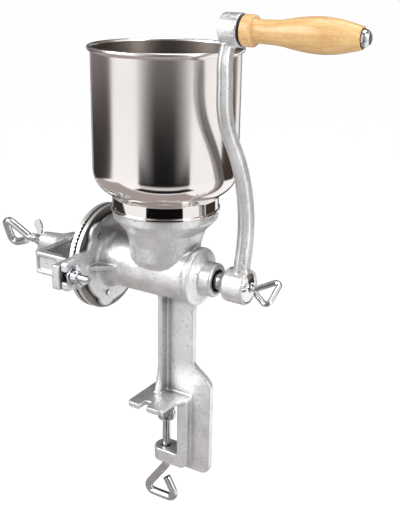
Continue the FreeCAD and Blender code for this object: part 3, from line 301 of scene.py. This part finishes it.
def cast_finish(name, pale, dark, rough_low, rough_high, grain_depth, pit_depth, edge_round, over=None):
    """Cast metal with grain, lumps and pits, and painted shade in its creases and hollows. over changes the
    colour that they give.
    """
    finish = new_finish(name)
    place = finish.place
    grain = finish.node("ShaderNodeTexNoise", Vector=place, Scale=1150.0, Detail=3.0, Roughness=0.65)
    lumps = finish.node("ShaderNodeTexNoise", Vector=place, Scale=230.0, Detail=3.0, Roughness=0.6)
    clouds = finish.node("ShaderNodeTexNoise", Vector=place, Scale=38.0, Detail=4.0, Roughness=0.6)
    cells = finish.node("ShaderNodeTexVoronoi", Vector=place, Scale=240.0, Randomness=1.0)
    sparse = finish.node("ShaderNodeTexNoise", Vector=place, Scale=70.0, Detail=1.0)
    pits = ((0.27 - cells) * 5.0).held() * ((sparse - 0.48) * 8.0).held()
    # Painted shade: the colour is darkened where occlusion is high, close up in creases and more widely in
    # hollows.
    open_sky = finish.node("ShaderNodeAmbientOcclusion", {"samples": 6}, out="AO", Distance=0.011)
    crease_shade = ((1 - open_sky) * 1.7 - 0.25).held()
    wide_sky = finish.node("ShaderNodeAmbientOcclusion", {"samples": 6}, out="AO", Distance=0.055)
    shade = ((1 - wide_sky) * 1.9 - 0.55).held()
    soft, edges = worn_edges(finish, edge_round)
    skin = finish.blend(((clouds - 0.32) * 2.4).held(), dark, pale)
    skin = finish.blend(((lumps - 0.44) * 3.4).held() * 0.4, skin, pale)
    skin = finish.blend(((grain - 0.56) * 7.0).held() * 0.4, skin, (0.97, 0.97, 0.98))
    skin = finish.blend(((0.44 - grain) * 7.0).held() * 0.5, skin, tuple(0.4 * part for part in dark))
    skin = finish.blend(pits * 0.75, skin, tuple(0.3 * part for part in dark))
    # Painted shade laid over the metal's colour: dark grey in hollows, darker still in creases.
    skin = finish.blend(shade * 0.7, skin, (0.16, 0.15, 0.142))
    skin = finish.blend(crease_shade * 0.85, skin, (0.11, 0.107, 0.105))
    skin = finish.blend(edges * 0.6, skin, (0.93, 0.93, 0.94))
    skin = over(finish, skin) if over else skin
    spread = ((clouds * 0.45 + lumps * 0.25 + grain * 0.3 - 0.3) * 2.2).held()
    rough = spread * (rough_high - rough_low) + rough_low + pits * 0.2 - edges * 0.08
    finish.feed(finish.shader.inputs["Base Color"], skin)
    finish.feed(finish.shader.inputs["Roughness"], rough.held())
    finish.shader.inputs["Metallic"].default_value = 0.8
    relief = grain * grain_depth + lumps * (3.2 * grain_depth) - pits * pit_depth
    bump = finish.node("ShaderNodeBump", Height=relief, Distance=1.0, Strength=1.0, Normal=soft)
    finish.feed(finish.shader.inputs["Normal"], bump)
    return finish.material


tinned = cast_finish(
    "tinned_iron", (0.93, 0.93, 0.94), (0.67, 0.675, 0.68), 0.24, 0.42, 0.00017, 0.0003, 0.0006)


def add_piece(name, mesh, body, material, slot, *nodes):
    """A finished piece that rides on a body and stands for CAD nodes."""
    piece = bpy.data.objects.new(name, mesh)
    scene.collection.objects.link(piece)
    mesh.materials.append(material)
    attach(piece, body)
    if nodes:
        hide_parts(*nodes)
    return piece


def cast_mesh(node, grain, passes):
    """The node's shape as sand leaves it: every corner run round, every inside corner filled."""
    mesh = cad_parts[node].data.copy()
    mesh.materials.clear()
    welded = bmesh.new()
    welded.from_mesh(mesh)
    bmesh.ops.remove_doubles(welded, verts=welded.verts, dist=1e-6)
    welded.to_mesh(mesh)
    welded.free()
    pattern = bpy.data.objects.new(node + "_pattern", mesh)
    scene.collection.objects.link(pattern)
    remesh = pattern.modifiers.new("sand", "REMESH")
    remesh.mode = "VOXEL"
    remesh.voxel_size = grain
    remesh.use_smooth_shade = True
    smooth = pattern.modifiers.new("fettled", "SMOOTH")
    smooth.factor = 0.5
    smooth.iterations = passes
    bpy.context.view_layer.update()
    cast = bpy.data.meshes.new_from_object(pattern.evaluated_get(bpy.context.evaluated_depsgraph_get()))
    bpy.data.objects.remove(pattern)
    cast.materials.clear()
    cast.shade_smooth()
    return cast


add_piece("mill_casting", cast_mesh("mill_body", 0.001, 3), "frame", tinned, "tinned_iron", "mill_body")

# Grinding plates: white iron, cast with their teeth and ground flat, the fixed one held by three
# countersunk screws. They stay grey where the mill body shines.
still_face, moving_face = -73.1, -76.3
rim_tone = (0.9, 0.885, 0.87)


def plate_skin(finish, skin):
    """Turned bright on the rim, with painted shadow, near black, in the gap where the ridges face each other.
    """
    gap_middle = ((still_face + moving_face) / 2 * MM, 0.0, BARREL_HEIGHT * MM)
    gap_half, bright_from, black_to = 1.75 * MM, 55.3 * MM, 55.95 * MM
    spot = finish.node("ShaderNodeVectorMath", {"operation": "SUBTRACT"}, i0=finish.place, i1=gap_middle)
    off = finish.node("ShaderNodeSeparateXYZ", out=0, Vector=spot).maths("ABSOLUTE")
    radius = finish.node("ShaderNodeVectorMath", {"operation": "LENGTH"}, out="Value",
                         i0=finish.scaled(spot, (0, 1, 1)))
    skin = finish.blend(((radius - bright_from) * 3000.0).held() * 0.8, skin, rim_tone)
    # Painted shadow: near black in the narrow gap between the plates, out to the rim's teeth.
    between = ((gap_half - off) * 5000.0).held() * ((black_to - radius) * 9000.0).held()
    return finish.blend(between * 0.94, skin, (0.03, 0.028, 0.026))


ground_iron = cast_finish(
    "ground_iron", (0.29, 0.275, 0.26), (0.17, 0.16, 0.15), 0.32, 0.5, 0.00003, 0.0001, 0.0003, plate_skin)
turned_rim = cast_finish("turned_rim", rim_tone, (0.6, 0.59, 0.58), 0.3, 0.5, 0.00003, 0.0001, 0.0003)
for plate in ("stationary_burr", "rotating_burr"):
    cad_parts[plate].data.materials.clear()
    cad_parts[plate].data.materials.append(ground_iron)


def rim_teeth(name, face, way, height):
    """A ring of fine teeth at the plates' rim, behind which the coarse ridges end, in millimetres."""
    count, inner, outer, sunk = 84, 54.8, 55.95, 0.3
    foot, crest = 1.4, 0.5
    made = bmesh.new()
    for number in range(count):
        turned = Matrix.Rotation(2 * math.pi * number / count, 4, "X")
        corners = []
        for along, half in ((face - way * sunk, foot), (face + way * height, crest)):
            for radius in (inner, outer):
                for side in (-half, half):
                    spot = Vector((along, side, radius)) * MM
                    corners.append(made.verts.new(turned @ spot + Vector((0, 0, BARREL_HEIGHT * MM))))
        for ring in ((0, 1, 3, 2), (4, 5, 7, 6), (0, 1, 5, 4), (2, 3, 7, 6), (0, 2, 6, 4), (1, 3, 7, 5)):
            made.faces.new([corners[corner] for corner in ring])
    bmesh.ops.recalc_face_normals(made, faces=made.faces)
    mesh = bpy.data.meshes.new(name)
    made.to_mesh(mesh)
    made.free()
    return mesh


still_teeth = rim_teeth("still_rim_teeth", still_face, -1, 0.3)
add_piece("still_rim_teeth", still_teeth, "frame", turned_rim, "plate_iron")
moving_teeth = rim_teeth("moving_rim_teeth", moving_face, 1, 1.1)
add_piece("moving_rim_teeth", moving_teeth, "rotor", turned_rim, "plate_iron")

# Shaft with the feed screw, its cross pin and the thrust ball: turned steel, oiled, and seen only
# between the bearing and the crank's hub and down the feed passage.


def steel_finish(name, pale, dark, rough, edge_round, crevice_shade=0.7):
    finish = new_finish(name)
    clouds = finish.node("ShaderNodeTexNoise", Vector=finish.place, Scale=130.0, Detail=4.0, Roughness=0.6)
    grain = finish.node("ShaderNodeTexNoise", Vector=finish.place, Scale=1500.0, Detail=2.0)
    open_sky = finish.node("ShaderNodeAmbientOcclusion", {"samples": 6}, out="AO", Distance=0.004)
    soft, edges = worn_edges(finish, edge_round)
    tone = finish.blend(((clouds - 0.3) * 2.2).held(), dark, pale)
    # Painted shade: crevices are darkened towards near black, by the share given for them.
    tone = finish.blend(((1 - open_sky) * 1.5 - 0.2).held() * crevice_shade, tone, (0.05, 0.05, 0.055))
    tone = finish.blend(edges * 0.4, tone, (0.95, 0.95, 0.96))
    finish.feed(finish.shader.inputs["Base Color"], tone)
    finish.shader.inputs["Metallic"].default_value = 1.0
    finish.feed(finish.shader.inputs["Roughness"], ((clouds - 0.5) * 0.14 + rough).held())
    relief = grain * 0.00001 + clouds * 0.00004
    bump = finish.node("ShaderNodeBump", Height=relief, Distance=1.0, Normal=soft)
    finish.feed(finish.shader.inputs["Normal"], bump)
    return finish.material


turned_steel = steel_finish("turned_steel", (0.74, 0.74, 0.75), (0.56, 0.56, 0.57), 0.24, 0.0004)
chrome = steel_finish("chrome", (0.9, 0.9, 0.91), (0.82, 0.83, 0.84), 0.07, 0.0004, 0.4)
zinc = steel_finish("bright_zinc", (0.84, 0.86, 0.89), (0.66, 0.68, 0.71), 0.17, 0.0004)
metals = {"auger": turned_steel, "drive_pin": turned_steel, "thrust_ball": chrome, "burr_screws": zinc}
for node, metal in metals.items():
    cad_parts[node].data.materials.clear()
    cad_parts[node].data.materials.append(metal)

# Hopper: thin stainless sheet spun over a form, satin outside, with a rolled rim, and polished at
# the neck that slips over the throat. The inside is rougher, and its colour is painted near black for the
# shade in the funnel.


def rounded(*corners, closed=False, step=math.radians(9)):
    """Points along straight runs, with an arc at each corner that gives a radius, in millimetres."""
    spots = [Vector(corner[:2]) for corner in corners]
    count = len(corners)
    points = []
    for place, corner in enumerate(corners):
        inner = closed or 0 < place < count - 1
        if len(corner) < 3 or not inner:
            points.append(spots[place].copy())
            continue
        back = (spots[place - 1] - spots[place]).normalized()
        ahead = (spots[(place + 1) % count] - spots[place]).normalized()
        half = back.angle(ahead) / 2
        run = corner[2] / math.tan(half)
        centre = spots[place] + (back + ahead).normalized() * (corner[2] / math.sin(half))
        first = spots[place] + back * run - centre
        sweep = math.pi - 2 * half
        if first.cross(back) > 0:
            sweep = -sweep
        parts = max(2, math.ceil(abs(sweep) / step))
        for part in range(parts + 1):
            angle = sweep * part / parts
            points.append(centre + Vector((
                first.x * math.cos(angle) - first.y * math.sin(angle),
                first.x * math.sin(angle) + first.y * math.cos(angle),
            )))
    return points


def spun(name, points, place, steps=96, closed=False, crease=math.radians(38)):
    """Mesh turned about the X axis of a place from points (along, radius), in millimetres."""
    made = bmesh.new()
    rings = []
    for along, radius in points:
        if radius < 1e-4:
            rings.append([made.verts.new(place @ Vector((along * MM, 0, 0)))] * steps)
            continue
        ring = []
        for step in range(steps):
            angle = 2 * math.pi * step / steps
            spot = Vector((along, radius * math.cos(angle), radius * math.sin(angle))) * MM
            ring.append(made.verts.new(place @ spot))
        rings.append(ring)
    pairs = list(zip(rings, rings[1:] + rings[:1])) if closed else list(zip(rings, rings[1:]))
    for first, second in pairs:
        for step in range(steps):
            after = (step + 1) % steps
            corners = []
            for vert in (first[step], first[after], second[after], second[step]):
                if vert not in corners:
                    corners.append(vert)
            if len(corners) > 2:
                made.faces.new(corners)
    bmesh.ops.recalc_face_normals(made, faces=made.faces)
    mesh = bpy.data.meshes.new(name)
    made.to_mesh(mesh)
    made.free()
    mesh.shade_smooth()
    mesh.set_sharp_from_angle(angle=crease)
    return mesh


def spun_finish(name, pale, dark, rough, ring_share):
    """Spun sheet, satin and rougher towards its rim, with a polished neck."""
    neck_top = (BARREL_HEIGHT + 81.5) * MM
    rough_level, rough_gain = 0.25, 0.9
    finish = new_finish(name)
    ring_place = finish.scaled(finish.place, (3, 3, 1500))
    rings = finish.node("ShaderNodeTexNoise", Vector=ring_place, Scale=3.0, Detail=3.0)
    cloud_place = finish.scaled(finish.place, (1, 1, 0.4))
    clouds = finish.node("ShaderNodeTexNoise", Vector=cloud_place, Scale=20.0, Detail=3.0)
    speck = finish.node("ShaderNodeTexNoise", Vector=finish.place, Scale=420.0, Detail=3.0, Roughness=0.7)
    neck = ((neck_top - finish.height(finish.place)) * 700.0).held()
    tone = finish.blend(((clouds - 0.3) * 2.2).held(), dark, pale)
    ringed = ((rings - 0.5) * 1.5 + 0.5).held() * ring_share
    tone = finish.blend(ringed, tone, tuple(1.12 * part for part in pale))
    tone = finish.blend(((speck - 0.6) * 7.0).held() * 0.12, tone, tuple(0.6 * part for part in dark))
    tone = finish.blend(neck, tone, (0.84, 0.81, 0.79))
    finish.feed(finish.shader.inputs["Base Color"], tone)
    finish.shader.inputs["Metallic"].default_value = 1.0
    satin = rings * 0.04 + clouds * 0.06 + speck * 0.04
    satin = satin + finish.height(finish.place) * rough_gain + (rough - rough_level * rough_gain)
    finish.feed(finish.shader.inputs["Roughness"], satin * (1 - neck) + neck * 0.055)
    bump = finish.node("ShaderNodeBump", Height=rings * 0.0000012, Distance=1.0, Strength=1.0)
    finish.feed(finish.shader.inputs["Normal"], bump)
    return finish.material


stainless = spun_finish("spun_stainless", (0.92, 0.88, 0.86), (0.84, 0.79, 0.765), 0.06, 0.12)
# Painted shade: the inside's colour is near-black brown for the shade that fills the funnel; it is also
# rougher than the outside.
dull_and_shaded_inside = spun_finish("dull_and_shaded_inside", (0.13, 0.11, 0.1), (0.09, 0.077, 0.068), 0.22, 0.2)
upright = Matrix.Translation((0, 0, BARREL_HEIGHT * MM)) @ Matrix.Rotation(-math.pi / 2, 4, "Y")
hopper_outside = rounded(
    (64.5, 52.0), (64.5, 54.2, 1.0), (67.7, 54.2, 1.0), (67.7, 52.8, 0.3), (79.6, 52.8, 3.0),
    (93.1, 71.4, 26.0), (216.6, 71.4, 0.6), (217.9, 73.6, 1.2), (220.0, 74.9, 1.9), (222.4, 74.0, 1.9),
    (222.5, 71.5, 1.6), (220.2, 70.6),
    step=math.radians(5),
)
hopper_inside = rounded(
    (220.2, 70.6), (93.5, 70.6, 25.2), (80.0, 52.0, 3.8), (64.5, 52.0), step=math.radians(5))
hopper_mesh = spun("hopper", hopper_outside + hopper_inside[1:-1], upright, steps=192, closed=True)
hopper_mesh.materials.append(stainless)
hopper_mesh.materials.append(dull_and_shaded_inside)
funnel = bpy.data.objects.new("spun_hopper", hopper_mesh)
scene.collection.objects.link(funnel)
for face in hopper_mesh.polygons:
    outward = Vector((face.center.x, face.center.y, 0.0)).normalized()
    in_bore = face.normal.dot(outward) < -0.1 or face.normal.z > 0.2
    if in_bore and face.center.z < (BARREL_HEIGHT + 216.0) * MM:
        face.material_index = 1
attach(funnel, "funnel")
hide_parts("hopper")

# Yoke: a second iron casting, a bow with a long boss for the adjusting screw, held on the ears of
# the mill body by two bolts with washers and cast wing nuts.
add_piece("yoke_casting", cast_mesh("yoke", 0.0009, 4), "frame", tinned, "tinned_iron", "yoke")


def threaded(name, path, shank, sides, place, crease=math.radians(50)):
    """Round bar along a flat path in millimetres. shank gives (up to, radius, thread pitch, depth)."""
    made = bmesh.new()
    spots = []
    travelled = 0.0
    for first, second in zip(path, path[1:]):
        run = (second - first).length
        rows = [row for row in shank if row[0] > travelled + 1e-6]
        pitch = rows[0][2] if rows else 0.0
        parts = max(1, math.ceil(run / (pitch / 8))) if pitch else 1
        for part in range(parts):
            spots.append((first.lerp(second, part / parts), travelled + run * part / parts))
        travelled += run
    spots.append((path[-1].copy(), travelled))
    rings = []
    for number, (spot, along) in enumerate(spots):
        ahead = spots[min(number + 1, len(spots) - 1)][0] - spots[max(number - 1, 0)][0]
        ahead.normalize()
        side = Vector((-ahead.y, ahead.x))
        row = next((row for row in shank if row[0] >= along - 1e-6), shank[-1])
        ring = []
        for step in range(sides):
            share = step / sides
            radius = row[1]
            if row[2]:
                phase = (along / row[2] - share) % 1.0
                radius -= row[3] * min(1.0, 2.6 * abs(phase - 0.5))
            around = 2 * math.pi * share
            flat = spot + side * (radius * math.cos(around))
            ring.append(made.verts.new(place @ (Vector((flat.x, radius * math.sin(around), flat.y)) * MM)))
        rings.append(ring)
    for first, second in zip(rings, rings[1:]):
        for step in range(sides):
            after = (step + 1) % sides
            made.faces.new((first[step], first[after], second[after], second[step]))
    made.faces.new(rings[0])
    made.faces.new(rings[-1])
    bmesh.ops.recalc_face_normals(made, faces=made.faces)
    mesh = bpy.data.meshes.new(name)
    made.to_mesh(mesh)
    made.free()
    mesh.shade_smooth()
    mesh.set_sharp_from_angle(angle=crease)
    return mesh


def joined(name, *meshes):
    """One mesh from several that are welded or screwed together."""
    made = bmesh.new()
    for mesh in meshes:
        made.from_mesh(mesh)
    mesh = bpy.data.meshes.new(name)
    made.to_mesh(mesh)
    made.free()
    return mesh


def wing_mesh(node, top, spread):
    """Wing nut as it is cast: the node's shape, with its wings thinned to their tips.

    The wings are spread along the axis, away from their top edge, and rounded off to leaves.
    """
    root, blunting, thinning = 0.35, 0.3, 0.24
    mesh = cast_mesh(node, 0.00038, 4)
    low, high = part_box(node)
    middle = (Vector(low) + Vector(high)) / 2
    reach = (high[2] - low[2]) / 2
    half_height = (high[0] - low[0]) / 2
    for vert in mesh.vertices:
        out = abs(vert.co.z - middle.z) / reach
        wing = max(0.0, out - root) / (1.0 - root)
        vert.co.x = top + (vert.co.x - top) * (1.0 + spread * wing)
        aside = (vert.co.x - middle.x) / half_height
        vert.co.z = middle.z + (vert.co.z - middle.z) * (1.0 - blunting * wing * aside * aside)
        vert.co.y = middle.y + (vert.co.y - middle.y) * (1.0 - thinning * wing)
    return mesh


ear_bolt_y = 70.0
for side, way in (("near", -1), ("far", 1)):
    along_bolt = Matrix.Translation((0, way * ear_bolt_y * MM, BARREL_HEIGHT * MM))
    head_side = rounded((-80.4, 0.0), (-80.4, 7.3, 0.4), (-81.6, 7.3, 1.0), (-84.4, 5.6, 2.6), (-85.3, 0.0))
    head = spun(side + "_bolt_head", head_side, along_bolt, steps=48)
    bar = threaded(side + "_bolt_bar", [Vector((x, 0)) for x in (-80.6, -68.0, -43.9, -43.1)],
                   [(12.6, 3.98, 0, 0), (36.7, 3.98, 1.25, 0.6), (99.0, 3.3, 0, 0)], 24, along_bolt)
    bolt = joined(side + "_bolt", head, bar)
    add_piece(side + "_bolt", bolt, "frame", zinc, "bright_zinc", side + "_yoke_bolt")
    ring_side = rounded((-64.0, 4.1), (-64.0, 9.0, 0.3), (-62.4, 9.0, 0.5), (-62.4, 4.1, 0.3), closed=True)
    ring = spun(side + "_washer", ring_side, along_bolt, 64, True)
    add_piece(side + "_washer", ring, "frame", zinc, "bright_zinc", side + "_yoke_washer")
    wings = wing_mesh(side + "_wing_nut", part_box(side + "_wing_nut")[1][0], 0.45)
    add_piece(side + "_wings", wings, side + "_nut", zinc, "bright_zinc", side + "_wing_nut")

# Adjusting screw: steel bar, threaded and bent to a loop for the fingers, zinc plated, with a
# broad-winged lock nut against the end of the yoke's boss.
adjuster_place = (Matrix.Translation((0, 0, BARREL_HEIGHT * MM)) @ Matrix.Rotation(math.radians(21), 4, "X")
                  @ Matrix.Rotation(math.pi, 4, "Z"))
adjuster_path = rounded((97.1, 0), (98.0, 0), (180.4, 0), (181.2, 0), (184.5, 0, 5.0), (214.0, 24.0, 6.5),
                        (215.0, -15.5, 6.5), (190.5, -5.6))
adjuster_shank = [(0.9, 4.3, 0, 0), (83.3, 4.97, 1.5, 0.5), (999.0, 4.2, 0, 0)]
add_piece("adjuster_bar", threaded("adjuster_bar", adjuster_path, adjuster_shank, 28, adjuster_place),
          "adjuster", zinc, "bright_zinc", "adjusting_screw")
lock_wings = wing_mesh("adjuster_wing_nut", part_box("adjuster_wing_nut")[0][0], 0.8)
add_piece("lock_wings", lock_wings, "lock_nut", zinc, "bright_zinc", "adjuster_wing_nut")

# Crank: hub, S-shaped arm and handle boss in one casting, held on the shaft's square by a bent
# thumb screw through a domed chrome washer.
add_piece("crank_casting", cast_mesh("crank_arm", 0.0008, 4), "rotor", tinned, "tinned_iron", "crank_arm")
along_shaft = Matrix.Translation((0, 0, BARREL_HEIGHT * MM))
dome_side = rounded((96.1, 3.1), (96.1, 14.4, 0.3), (97.2, 14.4, 0.8), (98.9, 9.6, 9.0), (99.7, 5.9, 1.0),
                    (99.7, 3.1, 0.3), closed=True)
dome = spun("crank_dome", dome_side, along_shaft, 96, True)
add_piece("crank_dome", dome, "crank_cap", chrome, "chrome", "crank_washer")
thumb_place = Matrix.Translation((0, 0, BARREL_HEIGHT * MM)) @ Matrix.Rotation(math.radians(-59), 4, "X")
thumb_path = rounded((82.0, 0), (82.6, 0), (99.6, 0), (99.8, 0), (101.2, 0), (101.6, 0), (104.0, 0, 3.0),
                     (125.4, 17.5, 4.0), (125.2, -17.3, 4.0), (107.0, -4.8))
thumb_shank = [(0.6, 2.5, 0, 0), (17.6, 2.97, 1.0, 0.5), (19.2, 4.2, 0, 0), (999.0, 2.85, 0, 0)]
add_piece("thumb_bar", threaded("thumb_bar", thumb_path, thumb_shank, 24, thumb_place),
          "crank_screw", zinc, "bright_zinc", "crank_thumb_screw")

# Grip: beech turned on a lathe and varnished, free to turn on a domed bolt riveted into the boss.


def beech_finish():
    finish = new_finish("varnished_beech")
    long_grain = finish.scaled(finish.place, (1.0, 10.0, 10.0))
    long_bands = finish.scaled(finish.place, (5, 42, 42))
    bands = finish.node("ShaderNodeTexNoise", Vector=long_bands, Scale=2.4, Detail=3.0)
    grain = finish.node("ShaderNodeTexNoise", Vector=long_grain, Scale=30.0, Detail=6.0,
                        Roughness=0.7, Distortion=0.5)
    long_flecks = finish.scaled(finish.place, (1.0, 7.0, 7.0))
    flecks = finish.node("ShaderNodeTexNoise", Vector=long_flecks, Scale=190.0, Detail=2.0)
    tone = finish.blend(((grain - 0.36) * 3.0).held(), (0.50, 0.28, 0.095), (0.70, 0.455, 0.20))
    tone = finish.blend(((bands - 0.42) * 2.6).held() * 0.5, tone, (0.76, 0.53, 0.26))
    tone = finish.blend(((0.4 - bands) * 5.0).held() * 0.4, tone, (0.42, 0.22, 0.07))
    tone = finish.blend(((flecks - 0.6) * 9.0).held() * 0.5, tone, (0.33, 0.17, 0.06))
    finish.feed(finish.shader.inputs["Base Color"], tone)
    finish.feed(finish.shader.inputs["Roughness"], (grain * 0.25 + 0.26).held())
    finish.shader.inputs["Coat Weight"].default_value = 0.4
    finish.shader.inputs["Coat Roughness"].default_value = 0.16
    relief = grain * 0.00006 + flecks * 0.00003
    bump = finish.node("ShaderNodeBump", Height=relief, Distance=1.0, Strength=1.0)
    finish.feed(finish.shader.inputs["Normal"], bump)
    return finish.material


beech = beech_finish()
crank_lean, crank_throw = -33.6, 243.5
along_grip = Matrix.Translation((0, crank_lean * MM, (BARREL_HEIGHT + crank_throw) * MM))
collar_end, grip_end = 111.9, 207.6
belly = [(0.04, 9.9), (0.14, 10.05), (0.26, 10.7), (0.40, 12.9), (0.50, 14.2), (0.60, 14.8), (0.68, 14.7),
         (0.80, 13.5), (0.91, 11.2), (0.97, 9.8)]
grip_points = rounded(
    (102.4, 4.1), (102.4, 13.4, 1.2), (collar_end, 13.4, 1.6), (112.6, 10.5, 0.4), (114.4, 10.1))


def smooth_through(points, parts=6):
    """A smooth line through the points, by Catmull and Rom's rule."""
    line = []
    for place in range(len(points) - 1):
        before, first = points[max(place - 1, 0)], points[place]
        second, after = points[place + 1], points[min(place + 2, len(points) - 1)]
        for part in range(parts):
            t = part / parts
            bend = (2 * before - 5 * first + 4 * second - after) * t ** 2
            twist = (3 * first - before - 3 * second + after) * t ** 3
            line.append(0.5 * (2 * first + (second - before) * t + bend + twist))
    return line + [points[-1]]


grip_length = grip_end - collar_end
grip_points += smooth_through([Vector((collar_end + share * grip_length, radius)) for share, radius in belly])
grip_points += rounded(
    (206.2, 9.4), (grip_end, 9.0, 0.6), (grip_end, 7.9, 0.3), (204.6, 7.9, 0.3), (204.6, 4.1))[1:]
grip_mesh = spun("turned_grip", grip_points, along_grip, 96, True)
add_piece("turned_grip", grip_mesh, "grip", beech, "beech", "handle_grip")
handle_bolt_side = rounded((84.0, 0.0), (84.0, 4.0, 0.5), (204.9, 4.0, 0.2), (204.9, 7.1, 0.3),
                           (210.6, 7.1, 2.0), (213.5, 4.6, 2.4), (213.5, 0.0))
handle_bolt = spun("handle_bolt", handle_bolt_side, along_grip, 64)
add_piece("handle_bolt_bar", handle_bolt, "rotor", zinc, "bright_zinc", "handle_bolt")

# Clamp screw: steel bar, threaded and bent as the others, with a toothed swivel pad riveted on its
# top end that bites the underside of the table.
clamp_x = 2.5
clamp_place = (Matrix.Translation((clamp_x * MM, 0, BARREL_HEIGHT * MM))
               @ Matrix.Rotation(math.pi / 2, 4, "Y"))
clamp_path = rounded((166.3, 0), (170.0, 0), (170.5, 0), (225.2, 0), (226.2, 0), (229.5, 0, 6.0),
                     (270.5, -29.5, 6.5), (270.5, 14.5, 6.5), (246.0, 0.6))
clamp_shank = [(3.7, 3.0, 0, 0), (4.2, 4.2, 0, 0), (58.9, 4.77, 1.5, 0.5), (999.0, 4.4, 0, 0)]
add_piece("clamp_bar", threaded("clamp_bar", clamp_path, clamp_shank, 28, clamp_place),
          "clamp_spindle", zinc, "bright_zinc", "clamp_screw")
crown_top = 158.6
crown_teeth = 16
tooth_depth = 2.2
pad_side = rounded((170.6, 8.0), (166.9, 8.0), (166.9, 3.1), (165.0, 5.6), (crown_top, 5.6), (crown_top, 8.4),
                   (164.4, 8.6), (164.6, 9.5, 0.3), (170.6, 9.5, 0.5), closed=True)
pad_mesh = spun("clamp_pad", pad_side, clamp_place, 4 * crown_teeth, True, math.radians(28))
for vert in pad_mesh.vertices:
    around = math.atan2(vert.co.y, vert.co.x - clamp_x * MM) / (2 * math.pi) * crown_teeth
    on_crown = vert.co.z > (BARREL_HEIGHT - crown_top) * MM - 1e-6
    if on_crown and (around + 0.125) % 1.0 < 0.5:
        vert.co.z -= tooth_depth * MM
add_piece("toothed_pad", pad_mesh, "clamp_foot", zinc, "bright_zinc", "clamp_pad")
